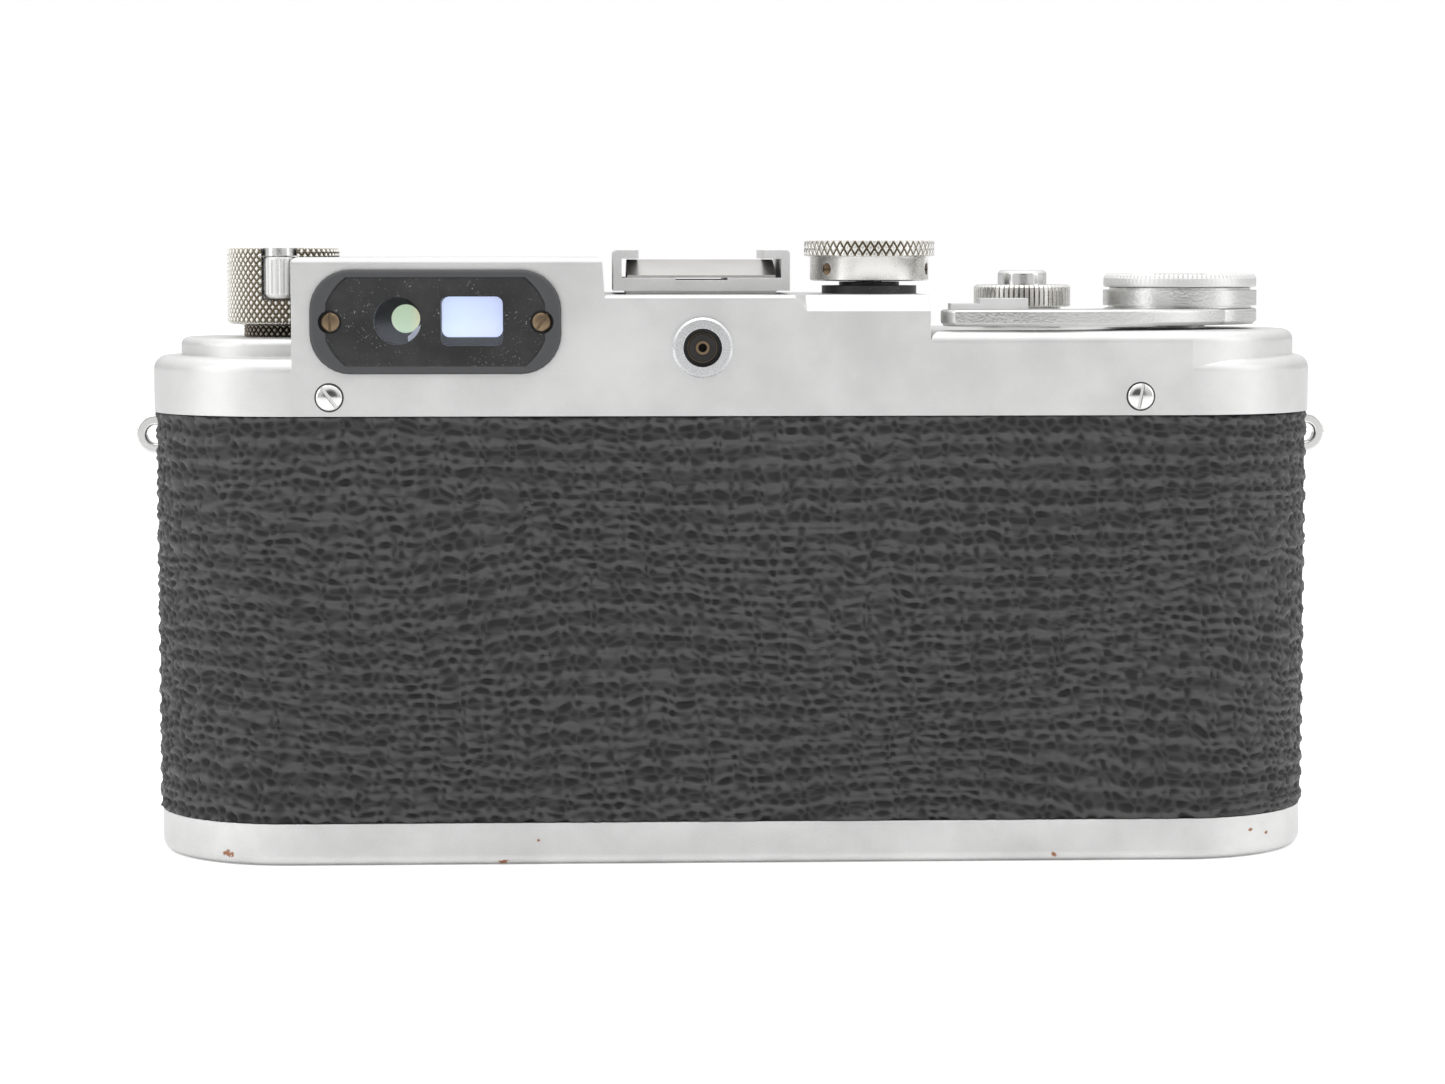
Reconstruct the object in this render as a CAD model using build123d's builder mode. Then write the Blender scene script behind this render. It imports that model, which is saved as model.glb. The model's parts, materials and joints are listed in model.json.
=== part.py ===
from build123d import *
from math import acos, atan2, cos, degrees, radians, sin
import os

os.makedirs("parts", exist_ok=True)

# Frame: millimetres, +Z up, lens towards -Y, eyepieces towards +Y.
# Origin: centre of the underside of the base plate.

# Body outline: a stadium, round at both ends
LENGTH = 136.0
DEPTH = 33.0
COVER_PROUD = 0.2        # the top cover stands out from the leather
BASE_INSET = 0.2         # the base plate is a little smaller than the leather
LEATHER = 0.6
SHELL_WALL = 1.2
JOINT_LINE = 0.04
COVER_WALL = 1.2
FIT = 0.05               # radial running clearance of every shaft

# Heights of the body
BASE_TOP = 4.9
BODY_BOTTOM = 5.0
CHASSIS_BOTTOM = 50.2
BODY_TOP = 51.5
COVER_BOTTOM = 51.6
SHOULDER_TOP = 58.2
PAD_TOP = 60.3
DECK_TOP = 61.2
PLATFORM_TOP = 65.3
FINDER_TOP = 69.6

# Steps of the top cover along X
DECK_LEFT = -66.3
STEP_X = -21.7
BEVEL_END = -7.6         # the platform's edges are bevelled from the step to here
FINDER_RIGHT = 15.0
FINDER_LEFT = 50.8
PAD_LEFT = 65.0

# Optical axis and film
LENS_X = 4.2
LENS_Z = 28.5
FLANGE_Y = -17.2
FLANGE_DISTANCE = 28.8
FILM_Y = FLANGE_Y + FLANGE_DISTANCE
GATE_WIDTH = 36.0
GATE_HEIGHT = 24.0

# Vertical axes
WIND_X = -53.0
REWIND_X = 53.0
DRUM_X = -16.0
RELEASE_X, RELEASE_Y = -34.7, -4.0
LOCK_X = 50.0
TRIPOD_X = -47.0

# Gear train
MODULE = 0.5
LEVER_TEETH = 48
IDLER_TEETH = 42
DRUM_TEETH = 16
PINION_TEETH = 14
SPROCKET_TEETH = 16
LOWER_GEARS = 52.0       # height of the layer that drives the sprocket
UPPER_GEARS = 53.7       # height of the layer that drives the shutter
GEAR_THICKNESS = 1.4
GEARS_TOP = UPPER_GEARS + GEAR_THICKNESS
SPROCKET_DISTANCE = 17.0
SPROCKET_ANGLE = 22.5

COVER_REAR = DEPTH / 2 + COVER_PROUD


def up(x, y, z):
    """Plane facing +Z."""
    return Plane(origin=(x, y, z), x_dir=(1, 0, 0), z_dir=(0, 0, 1))


def back(x, y, z):
    """Plane facing +Y, with its own y along Z."""
    return Plane(origin=(x, y, z), x_dir=(-1, 0, 0), z_dir=(0, 1, 0))


def front(x, y, z):
    """Plane facing -Y, with its own y along Z."""
    return Plane(origin=(x, y, z), x_dir=(1, 0, 0), z_dir=(0, -1, 0))


def spun(place, angle):
    """The same plane with its own x turned about its normal."""
    normal = Axis((0, 0, 0), place.z_dir)
    return Plane(origin=place.origin, x_dir=place.x_dir.rotate(normal, angle), z_dir=place.z_dir)


def disc(place, radius, length, mode=Mode.ADD):
    """Round bar that grows from a plane."""
    with BuildSketch(place) as outline:
        Circle(radius)
    extrude(outline.sketch, amount=length, mode=mode)


def block(place, width, height, length, corner=0, mode=Mode.ADD):
    """Rectangular bar that grows from a plane, with rounded corners if asked."""
    with BuildSketch(place) as outline:
        if corner:
            RectangleRounded(width, height, corner)
        else:
            Rectangle(width, height)
    extrude(outline.sketch, amount=length, mode=mode)


def stadium(bottom, top, inset=0, mode=Mode.ADD):
    """Slab with the body's outline, made smaller all round by the inset."""
    with BuildSketch(up(0, 0, bottom)) as outline:
        SlotOverall(LENGTH - 2 * inset, DEPTH - 2 * inset)
    extrude(outline.sketch, amount=top - bottom, mode=mode)


def gear_points(teeth, phase):
    """Outline of a gear whose first tooth points at the phase angle."""
    pitch_radius = MODULE * teeth / 2
    outline = []
    for tooth in range(teeth):
        centre = phase + tooth * 360 / teeth
        for radius, half_width in ((-0.6, -0.42), (0.4, -0.16), (0.4, 0.16), (-0.6, 0.42)):
            angle = radians(centre + degrees(half_width / pitch_radius))
            reach = pitch_radius + radius
            outline.append((reach * cos(angle), reach * sin(angle)))
    return outline


def gear(place, teeth, phase, thickness, bore):
    """Spur gear with straight-sided teeth and a round bore."""
    with BuildSketch(place) as outline:
        with BuildLine():
            Polyline(*gear_points(teeth, phase), close=True)
        make_face()
        Circle(bore, mode=Mode.SUBTRACT)
    extrude(outline.sketch, amount=thickness)


def meshed_phase(driver_teeth, driver_phase, direction, teeth):
    """Tooth angle that lets a gear's gap meet the driver's tooth along the line of centres."""
    return direction + 180 - (driver_teeth * (driver_phase - direction) + 180) / teeth


def save(piece, name):
    """Name a finished piece and write it."""
    piece.part.label = name
    export_step(piece.part, f"parts/{name}.step")


# Gear centres: the idler is in line with the lever and the drum, and the sprocket sits by the film
IDLER_X = WIND_X + MODULE * (LEVER_TEETH + IDLER_TEETH) / 2
SPROCKET_X = WIND_X + SPROCKET_DISTANCE * cos(radians(SPROCKET_ANGLE))
SPROCKET_Y = SPROCKET_DISTANCE * sin(radians(SPROCKET_ANGLE))
LEVER_TO_PINION = MODULE * (LEVER_TEETH + PINION_TEETH) / 2
PINION_TO_SPROCKET = MODULE * (PINION_TEETH + SPROCKET_TEETH) / 2
PINION_TURN = degrees(acos(
    (LEVER_TO_PINION ** 2 + SPROCKET_DISTANCE ** 2 - PINION_TO_SPROCKET ** 2)
    / (2 * LEVER_TO_PINION * SPROCKET_DISTANCE)
))
PINION_ANGLE = SPROCKET_ANGLE - PINION_TURN
PINION_X = WIND_X + LEVER_TO_PINION * cos(radians(PINION_ANGLE))
PINION_Y = LEVER_TO_PINION * sin(radians(PINION_ANGLE))
PINION_TO_SPROCKET_ANGLE = degrees(atan2(SPROCKET_Y - PINION_Y, SPROCKET_X - PINION_X))

# ---------------------------------------------------------------- body shell and leather

MOUNT_RING_RADIUS = 22.5
MOUNT_SPIGOT_RADIUS = 20.5
LUG_Z = 48.8
LUG_RADIUS = 2.3
LUG_THICKNESS = 1.8
SLOW_X, SLOW_Z = -34.0, 33.0
SLOW_BASE_RADIUS = 7.2
SLOW_SPINDLE_RADIUS = 1.5


def cut_lug_slots():
    """Slots for the strap lugs in both ends."""
    for side in (-1, 1):
        block(
            up(side * LENGTH / 2, 0, LUG_Z - LUG_RADIUS),
            5.2, LUG_THICKNESS, 2 * LUG_RADIUS, mode=Mode.SUBTRACT,
        )


with BuildPart() as body_shell:
    stadium(BODY_BOTTOM, BODY_TOP, LEATHER)
    stadium(BODY_BOTTOM, BODY_TOP, LEATHER + SHELL_WALL, mode=Mode.SUBTRACT)
    disc(front(LENS_X, 0, LENS_Z), MOUNT_SPIGOT_RADIUS, DEPTH, mode=Mode.SUBTRACT)
    disc(front(SLOW_X, 0, SLOW_Z), SLOW_SPINDLE_RADIUS + FIT, DEPTH, mode=Mode.SUBTRACT)
    cut_lug_slots()
    # joint lines across the round ends, so that no section of the shell wraps around a chamber
    for side in (-1, 1):
        for angle in (-90, -45, 0, 45, 90):
            across = spun(up(side * (LENGTH - DEPTH) / 2, 0, BODY_BOTTOM), angle)
            wall = across.shift_origin(across.from_local_coords((side * DEPTH / 2, 0, 0)))
            block(wall, 5, JOINT_LINE, BODY_TOP - BODY_BOTTOM, mode=Mode.SUBTRACT)
save(body_shell, "body_shell")

with BuildPart() as leather_cover:
    stadium(BODY_BOTTOM, BODY_TOP)
    stadium(BODY_BOTTOM, BODY_TOP, LEATHER, mode=Mode.SUBTRACT)
    disc(front(LENS_X, 0, LENS_Z), MOUNT_RING_RADIUS, DEPTH, mode=Mode.SUBTRACT)
    disc(front(SLOW_X, 0, SLOW_Z), SLOW_BASE_RADIUS, DEPTH, mode=Mode.SUBTRACT)
    cut_lug_slots()
save(leather_cover, "leather_cover")

with BuildPart() as strap_lugs:
    for side in (-1, 1):
        eye_x = side * (LENGTH / 2 + 0.1)
        disc(back(eye_x, -LUG_THICKNESS / 2, LUG_Z), LUG_RADIUS, LUG_THICKNESS)
        disc(back(eye_x, -LUG_THICKNESS / 2, LUG_Z), 1.1, LUG_THICKNESS, mode=Mode.SUBTRACT)
    fillet(strap_lugs.edges().filter_by(GeomType.CIRCLE), 0.25)
save(strap_lugs, "strap_lugs")

# ---------------------------------------------------------------- base plate, bush and lock

BASE_FLOOR = 2.0
KEY_RADIUS = 8.0
KEY_BOTTOM = 0.1
KEY_THICKNESS = 0.9
KEY_SHAFT_RADIUS = 2.0
BUSH_RADIUS = 4.0
BUSH_TOP = 6.2
TRIPOD_RADIUS = 2.6
TRIPOD_DEPTH = 5.2

with BuildPart() as base_plate:
    stadium(0, BASE_TOP, BASE_INSET)
    fillet(base_plate.faces().sort_by(Axis.Z)[0].edges(), 1.2)
    stadium(BASE_FLOOR, BASE_TOP, BASE_INSET + 1.0, mode=Mode.SUBTRACT)
    disc(up(TRIPOD_X, 0, 0), BUSH_RADIUS, BASE_TOP, mode=Mode.SUBTRACT)
    disc(up(LOCK_X, 0, 0), KEY_RADIUS + FIT, KEY_BOTTOM + KEY_THICKNESS + FIT, mode=Mode.SUBTRACT)
    disc(up(LOCK_X, 0, 0), KEY_SHAFT_RADIUS + FIT, BASE_TOP, mode=Mode.SUBTRACT)
save(base_plate, "base_plate")

with BuildPart() as tripod_bush:
    disc(up(TRIPOD_X, 0, 0), BUSH_RADIUS, BASE_FLOOR)
    disc(up(TRIPOD_X, 0, BASE_FLOOR), BUSH_RADIUS + 1.5, BUSH_TOP - BASE_FLOOR)
    disc(up(TRIPOD_X, 0, 0), TRIPOD_RADIUS, TRIPOD_DEPTH, mode=Mode.SUBTRACT)
save(tripod_bush, "tripod_bush")

with BuildPart() as base_lock_key:
    disc(up(LOCK_X, 0, KEY_BOTTOM), KEY_RADIUS, KEY_THICKNESS)
    disc(up(LOCK_X, 0, KEY_BOTTOM + KEY_THICKNESS), KEY_SHAFT_RADIUS, 1.2)
    block(up(LOCK_X + 2, 0, BASE_FLOOR + 0.1), 11, 5, 1.2, 2.4)
    for side in (-1, 1):
        with BuildSketch(up(LOCK_X, 0, KEY_BOTTOM)) as finger_dish:
            Circle(KEY_RADIUS - 1)
            Rectangle(2 * KEY_RADIUS, 2.4, mode=Mode.SUBTRACT)
            with Locations((0, -side * KEY_RADIUS)):
                Rectangle(2 * KEY_RADIUS, 2 * KEY_RADIUS, mode=Mode.SUBTRACT)
        extrude(finger_dish.sketch, amount=0.6, mode=Mode.SUBTRACT)
save(base_lock_key, "base_lock_key")

# ---------------------------------------------------------------- top cover

EYEPIECE_X, EYEPIECE_Z = 34.5, 62.3
RANGE_EYE_X = 38.8
RANGE_EYE_RADIUS = 2.7
VIEW_EYE_X = 30.4
VIEW_EYE_WIDTH, VIEW_EYE_HEIGHT = 7.0, 5.55
EYE_Z = 62.4
RANGE_FAR_X = 0.0
RANGE_WINDOW_RADIUS = 3.0
VIEW_WINDOW_WIDTH, VIEW_WINDOW_HEIGHT = 12.0, 8.0
BEZEL_WALL = 0.8
ROUND_WINDOW_XS = (RANGE_FAR_X, RANGE_EYE_X + 3.5)
WINDOW_Z = EYE_Z - 1.4
EYE_SCREWS = ((46.4, 12), (22.5, 62))
SOCKET_X, SOCKET_Z = 4.3, 59.35
COVER_SCREW_Z = 53.75
COVER_SCREWS = ((46.6, 140), (-45.8, 75))
KNOB_RECESS_RADIUS = 7.5
SHAFT_RADIUS = 2.0
SPINDLE_RADIUS = 1.5
WIND_SHAFT_RADIUS = 3.0
BOSS_SPIGOT_RADIUS = 3.5


def cover_block(left, right, top, rounding):
    """Full-depth block of the top cover between two X positions."""
    block(up((left + right) / 2, 0, COVER_BOTTOM), right - left, 2 * COVER_REAR, top - COVER_BOTTOM)
    fillet(edges(Select.LAST).filter_by(Axis.X).group_by(Axis.Z)[-1], rounding)


def deck_outline(inset):
    """Flat deck under the wind lever, round at its outer end."""
    reach = COVER_REAR - inset
    with BuildSketch(up(0, 0, COVER_BOTTOM)) as outline:
        with BuildLine():
            Polyline((-51.7, reach), (STEP_X + inset, reach), (STEP_X + inset, -reach), (-51.7, -reach))
            ThreePointArc((-51.7, -reach), (DECK_LEFT + inset, 0), (-51.7, reach))
        make_face()
    return outline.sketch


def bevel_outline(x, side, share):
    """Wedge taken off one long edge of the platform, at a share of its full size."""
    with BuildSketch(Plane.YZ.offset(x)) as outline:
        Polygon(
            (side * COVER_REAR, PLATFORM_TOP - 1.8 * share), (side * COVER_REAR, PLATFORM_TOP),
            (side * (COVER_REAR - 3 * share), PLATFORM_TOP), align=None,
        )
    return outline.sketch


with BuildPart() as deck:
    extrude(deck_outline(0), amount=DECK_TOP - COVER_BOTTOM)
    fillet(deck.faces().sort_by(Axis.Z)[-1].edges(), 1.3)

with BuildPart() as shoulder:
    stadium(COVER_BOTTOM, SHOULDER_TOP, -COVER_PROUD)
    fillet(shoulder.faces().sort_by(Axis.Z)[-1].edges(), 1.6)

with BuildPart() as pad:
    with BuildSketch(up(0, 0, COVER_BOTTOM)) as pad_outline:
        with Locations((45, 0)):
            SlotOverall(2 * (PAD_LEFT - 45), 24.0)
        Rectangle(88, 40, mode=Mode.SUBTRACT)
    extrude(pad_outline.sketch, amount=PAD_TOP - COVER_BOTTOM)
    fillet(pad.faces().sort_by(Axis.Z)[-1].edges(), 0.9)

with BuildPart() as platform:
    cover_block(STEP_X, FINDER_RIGHT + 1, PLATFORM_TOP, 0.5)
    for side in (-1, 1):
        full = bevel_outline(BEVEL_END, side, 1.0)
        extrude(full, amount=STEP_X - 1 - BEVEL_END, mode=Mode.SUBTRACT)
        loft([full.face(), bevel_outline(BEVEL_END + 1.5, side, 0.05).face()], mode=Mode.SUBTRACT)

with BuildPart() as finder:
    with BuildSketch(Plane.XZ.offset(-COVER_REAR)) as finder_outline:
        Polygon(
            (FINDER_RIGHT - 0.6, COVER_BOTTOM), (FINDER_LEFT, COVER_BOTTOM), (FINDER_LEFT, FINDER_TOP),
            (FINDER_RIGHT + 0.7, FINDER_TOP), align=None,
        )
    extrude(finder_outline.sketch, amount=2 * COVER_REAR)
    fillet(finder.faces().sort_by(Axis.Z)[-1].edges(), 0.8)
    disc(up(REWIND_X, 0, PAD_TOP), KNOB_RECESS_RADIUS, 20, mode=Mode.SUBTRACT)

with BuildPart() as top_cover:
    for piece in (shoulder, deck, pad, platform, finder):
        add(piece.part)
    # hollow inside, one room under each step
    stadium(COVER_BOTTOM, SHOULDER_TOP - COVER_WALL, COVER_WALL - COVER_PROUD, mode=Mode.SUBTRACT)
    extrude(deck_outline(COVER_WALL), amount=DECK_TOP - COVER_WALL - COVER_BOTTOM, mode=Mode.SUBTRACT)
    block(up(-3.0, 0, COVER_BOTTOM), 34.5, 31.0, 10.7, mode=Mode.SUBTRACT)
    block(up(-3.0, 0, COVER_BOTTOM), 34.5, 26.0, 12.5, mode=Mode.SUBTRACT)
    block(up(30.0, 0, COVER_BOTTOM), 28.4, 31.0, FINDER_TOP - COVER_WALL - COVER_BOTTOM, mode=Mode.SUBTRACT)
    # shafts that come up through the top
    disc(up(REWIND_X, 0, COVER_BOTTOM), SHAFT_RADIUS + FIT, 20, mode=Mode.SUBTRACT)
    disc(up(WIND_X, 0, COVER_BOTTOM), WIND_SHAFT_RADIUS + FIT, 20, mode=Mode.SUBTRACT)
    disc(up(DRUM_X, 0, COVER_BOTTOM), SPINDLE_RADIUS + FIT, 20, mode=Mode.SUBTRACT)
    disc(up(RELEASE_X, RELEASE_Y, COVER_BOTTOM), BOSS_SPIGOT_RADIUS, 20, mode=Mode.SUBTRACT)
    # rear: eyepieces, screws and flash socket
    disc(back(RANGE_EYE_X, 0, EYE_Z), RANGE_EYE_RADIUS, 20, mode=Mode.SUBTRACT)
    block(back(VIEW_EYE_X, 0, EYE_Z), VIEW_EYE_WIDTH, VIEW_EYE_HEIGHT, 20, 0.7, mode=Mode.SUBTRACT)
    for screw_x, _ in EYE_SCREWS:
        disc(back(screw_x, 0, EYEPIECE_Z), 0.6, 20, mode=Mode.SUBTRACT)
    disc(back(SOCKET_X, 0, SOCKET_Z), 2.6, 20, mode=Mode.SUBTRACT)
    # front: windows
    block(front(VIEW_EYE_X, 0, EYE_Z), VIEW_WINDOW_WIDTH, VIEW_WINDOW_HEIGHT, 20, 1.0, mode=Mode.SUBTRACT)
    for window_x in ROUND_WINDOW_XS:
        disc(front(window_x, 0, WINDOW_Z), RANGE_WINDOW_RADIUS, 20, mode=Mode.SUBTRACT)
    # cover screws through the skirt
    for screw_x, _ in COVER_SCREWS:
        disc(back(screw_x, -20, COVER_SCREW_Z), 0.8, 40, mode=Mode.SUBTRACT)
save(top_cover, "top_cover")


def slotted_screw(place, head_radius, head_height, shank_radius, shank_length, slot_angle):
    """Round-head screw with a driver slot; its head stands on the plane."""
    disc(place, head_radius, head_height)
    disc(place, shank_radius, -shank_length)
    slot = spun(place.offset(head_height), slot_angle)
    block(slot, 2 * head_radius, 0.22 * head_radius, -0.45 * head_height, mode=Mode.SUBTRACT)


with BuildPart() as cover_screws:
    for screw_x, slot_angle in COVER_SCREWS:
        slotted_screw(back(screw_x, COVER_REAR, COVER_SCREW_Z), 1.5, 0.5, 0.8, 2.4, slot_angle)
        slotted_screw(front(screw_x, -COVER_REAR, COVER_SCREW_Z), 1.5, 0.5, 0.8, 2.4, slot_angle)
save(cover_screws, "cover_screws")

# ---------------------------------------------------------------- eyepieces and windows

PLATE_WIDTH, PLATE_HEIGHT = 28.4, 11.8
PLATE_THICKNESS = 0.9
PLATE_DISH = 0.55

with BuildPart() as eyepiece_plate:
    block(back(EYEPIECE_X, COVER_REAR, EYEPIECE_Z), PLATE_WIDTH, PLATE_HEIGHT, PLATE_THICKNESS, 4.6)
    with BuildSketch(back(EYEPIECE_X, COVER_REAR + PLATE_THICKNESS, EYEPIECE_Z)) as dish_rim:
        RectangleRounded(27.2, 11.0, 4.3)
    with BuildSketch(back(EYEPIECE_X, COVER_REAR + PLATE_THICKNESS - PLATE_DISH, EYEPIECE_Z)) as dish_floor:
        RectangleRounded(24.7, 9.8, 3.8)
    loft([dish_rim.sketch.face(), dish_floor.sketch.face()], mode=Mode.SUBTRACT)
    disc(back(RANGE_EYE_X, COVER_REAR, EYE_Z), RANGE_EYE_RADIUS, 2, mode=Mode.SUBTRACT)
    block(back(VIEW_EYE_X, COVER_REAR, EYE_Z), VIEW_EYE_WIDTH, VIEW_EYE_HEIGHT, 2, 0.7, mode=Mode.SUBTRACT)
    for screw_x, _ in EYE_SCREWS:
        disc(back(screw_x, COVER_REAR + 0.05, EYEPIECE_Z), 1.33, 2, mode=Mode.SUBTRACT)
        disc(back(screw_x, COVER_REAR, EYEPIECE_Z), 0.6, 2, mode=Mode.SUBTRACT)
save(eyepiece_plate, "eyepiece_plate")

with BuildPart() as eyepiece_screws:
    for screw_x, slot_angle in EYE_SCREWS:
        slotted_screw(back(screw_x, COVER_REAR + 0.05, EYEPIECE_Z), 1.05, 0.45, 0.6, 2.2, slot_angle)
save(eyepiece_screws, "eyepiece_screws")

with BuildPart() as rangefinder_eyepiece:
    disc(back(RANGE_EYE_X, COVER_REAR - 1.0, EYE_Z), RANGE_EYE_RADIUS, 0.9)
save(rangefinder_eyepiece, "rangefinder_eyepiece")

with BuildPart() as viewfinder_eyepiece:
    block(back(VIEW_EYE_X, COVER_REAR - 1.0, EYE_Z), VIEW_EYE_WIDTH, VIEW_EYE_HEIGHT, 0.9, 0.7)
save(viewfinder_eyepiece, "viewfinder_eyepiece")


def window_set(y, thickness, inset, mode=Mode.ADD):
    """The large viewfinder window and both round ones, growing forwards, made smaller by the inset."""
    width, height = VIEW_WINDOW_WIDTH - 2 * inset, VIEW_WINDOW_HEIGHT - 2 * inset
    block(front(VIEW_EYE_X, y, EYE_Z), width, height, thickness, 1.0 - inset / 2, mode)
    for window_x in ROUND_WINDOW_XS:
        disc(front(window_x, y, WINDOW_Z), RANGE_WINDOW_RADIUS - inset, thickness, mode)


with BuildPart() as front_windows:
    window_set(0.4 - COVER_REAR, 0.8, BEZEL_WALL)
save(front_windows, "front_windows")

with BuildPart() as window_bezels:
    window_set(1.2 - COVER_REAR, 1.6, 0)
    window_set(1.2 - COVER_REAR, 1.6, BEZEL_WALL, mode=Mode.SUBTRACT)
save(window_bezels, "window_bezels")

with BuildPart() as rangefinder_prisms:
    with BuildSketch(up(0, 0, EYE_Z - 4)) as prism_outlines:
        with Locations((RANGE_EYE_X, -4)):
            Rectangle(6, 6)
        with Locations((RANGE_FAR_X, -8)):
            Triangle(a=6, b=6, C=90)
    extrude(prism_outlines.sketch, amount=5.4)
save(rangefinder_prisms, "rangefinder_prisms")

# ---------------------------------------------------------------- flash socket and accessory shoe

with BuildPart() as flash_socket_ring:
    disc(back(SOCKET_X, COVER_REAR, SOCKET_Z), 3.45, 0.8)
    chamfer(flash_socket_ring.faces().sort_by(Axis.Y)[-1].edges(), 0.25)
    disc(back(SOCKET_X, COVER_REAR, SOCKET_Z), 2.6, -1.6)
    disc(back(SOCKET_X, COVER_REAR - 2, SOCKET_Z), 2.2, 4, mode=Mode.SUBTRACT)
save(flash_socket_ring, "flash_socket_ring")

with BuildPart() as flash_socket_insulator:
    disc(back(SOCKET_X, COVER_REAR - 1.6, SOCKET_Z), 2.2, 0.6)
    disc(back(SOCKET_X, COVER_REAR - 1.0, SOCKET_Z), 1.54, 1.2)
    disc(back(SOCKET_X, COVER_REAR - 1.6, SOCKET_Z), 0.78, 4, mode=Mode.SUBTRACT)
save(flash_socket_insulator, "flash_socket_insulator")

with BuildPart() as flash_socket_contact:
    disc(back(SOCKET_X, COVER_REAR - 1.6, SOCKET_Z), 0.78, 2.0)
    disc(back(SOCKET_X, COVER_REAR - 1.0, SOCKET_Z), 0.5, 2, mode=Mode.SUBTRACT)
save(flash_socket_contact, "flash_socket_contact")

SHOE_X, SHOE_Y = 4.1, -1.5
SHOE_WIDTH, SHOE_DEPTH = 20.5, 19.0
SHOE_INNER = 18.5
SHOE_OPENING = 14.6
SHOE_FLOOR = 67.2
SHOE_LIP_BOTTOM = 69.4
SHOE_TOP = 70.4
SPRING_WIDTH, SPRING_REACH, SPRING_RISE = 17.2, 8.8, 1.8

with BuildPart() as accessory_shoe:
    block(up(SHOE_X, SHOE_Y, PLATFORM_TOP), SHOE_WIDTH - 3, SHOE_DEPTH - 2, 0.4)
    block(up(SHOE_X, SHOE_Y, PLATFORM_TOP + 0.4), SHOE_WIDTH, SHOE_DEPTH, SHOE_TOP - PLATFORM_TOP - 0.4)
    fillet(accessory_shoe.edges().filter_by(Axis.Y).group_by(Axis.Z)[-1], 0.5)
    block(
        up(SHOE_X, SHOE_Y, SHOE_FLOOR),
        SHOE_INNER, SHOE_DEPTH, SHOE_LIP_BOTTOM - SHOE_FLOOR, mode=Mode.SUBTRACT,
    )
    block(up(SHOE_X, SHOE_Y, SHOE_LIP_BOTTOM), SHOE_OPENING, SHOE_DEPTH, 2, mode=Mode.SUBTRACT)
    block(up(SHOE_X, SHOE_Y, SHOE_FLOOR - 0.25), 6, SHOE_DEPTH, 1, mode=Mode.SUBTRACT)
save(accessory_shoe, "accessory_shoe")

with BuildPart() as shoe_spring:
    bow_place = Plane(origin=(SHOE_X - SPRING_WIDTH / 2, SHOE_Y, SHOE_FLOOR), x_dir=(0, 1, 0), z_dir=(1, 0, 0))
    with BuildSketch(bow_place) as bow:
        with BuildLine():
            ThreePointArc((-SPRING_REACH, 0), (0, SPRING_RISE), (SPRING_REACH, 0))
            Line((SPRING_REACH, 0), (SPRING_REACH, 0.3))
            ThreePointArc((SPRING_REACH, 0.3), (0, SPRING_RISE + 0.3), (-SPRING_REACH, 0.3))
            Line((-SPRING_REACH, 0.3), (-SPRING_REACH, 0))
        make_face()
    extrude(bow.sketch, amount=SPRING_WIDTH)
save(shoe_spring, "shoe_spring")

# ---------------------------------------------------------------- chassis, crate and curtains

CRATE_RIGHT, CRATE_LEFT = -25.0, 37.5
CRATE_LENGTH = CRATE_LEFT - CRATE_RIGHT
CRATE_MIDDLE = (CRATE_LEFT + CRATE_RIGHT) / 2
CRATE_DEPTH = 23.6
CRATE_BOTTOM = 7.0
CRATE_FLOOR = 1.2
CRATE_WALL = 1.0
DRUM_RADIUS = 4.5
DRUM_BOTTOM, DRUM_TOP = 8.8, 48.8
ROLLER_X, ROLLER_Y, ROLLER_RADIUS = 28.0, -1.0, 3.0
PIVOT_RADIUS = 1.0
ARM_PIVOT_X, ARM_PIVOT_Y = LENS_X + 17.0, -9.75
ARM_BOTTOM, ARM_THICKNESS = 42.0, 2.0

with BuildPart() as chassis_plate:
    stadium(CHASSIS_BOTTOM, BODY_TOP, LEATHER + SHELL_WALL)
    for shaft_x, shaft_y, radius in (
        (REWIND_X, 0, SHAFT_RADIUS), (WIND_X, 0, SHAFT_RADIUS), (DRUM_X, 0, SPINDLE_RADIUS),
        (SPROCKET_X, SPROCKET_Y, SPINDLE_RADIUS), (ROLLER_X, ROLLER_Y, PIVOT_RADIUS),
    ):
        disc(up(shaft_x, shaft_y, CHASSIS_BOTTOM), radius + FIT, 5, mode=Mode.SUBTRACT)
    for side in (-1, 1):
        block(up(side * (LENGTH / 2 - 2), 0, CHASSIS_BOTTOM), 2.8, 3, 5, mode=Mode.SUBTRACT)
save(chassis_plate, "chassis_plate")

with BuildPart() as shutter_crate:
    block(up(CRATE_MIDDLE, -1.0, CRATE_BOTTOM), CRATE_LENGTH, CRATE_DEPTH, CRATE_FLOOR)
    for wall_x in (CRATE_RIGHT + CRATE_WALL / 2, CRATE_LEFT - CRATE_WALL / 2):
        block(up(wall_x, -1.0, CRATE_BOTTOM), CRATE_WALL, CRATE_DEPTH, CHASSIS_BOTTOM - CRATE_BOTTOM)
    block(up(CRATE_MIDDLE, FILM_Y - 0.8, CRATE_BOTTOM), CRATE_LENGTH, 1.6, CHASSIS_BOTTOM - CRATE_BOTTOM)
    block(back(LENS_X, 0, LENS_Z), GATE_WIDTH, GATE_HEIGHT, 20, mode=Mode.SUBTRACT)
    for pivot_x, pivot_y in ((DRUM_X, 0), (ROLLER_X, ROLLER_Y)):
        disc(up(pivot_x, pivot_y, CRATE_BOTTOM), PIVOT_RADIUS + FIT, 3, mode=Mode.SUBTRACT)
save(shutter_crate, "shutter_crate")

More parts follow.
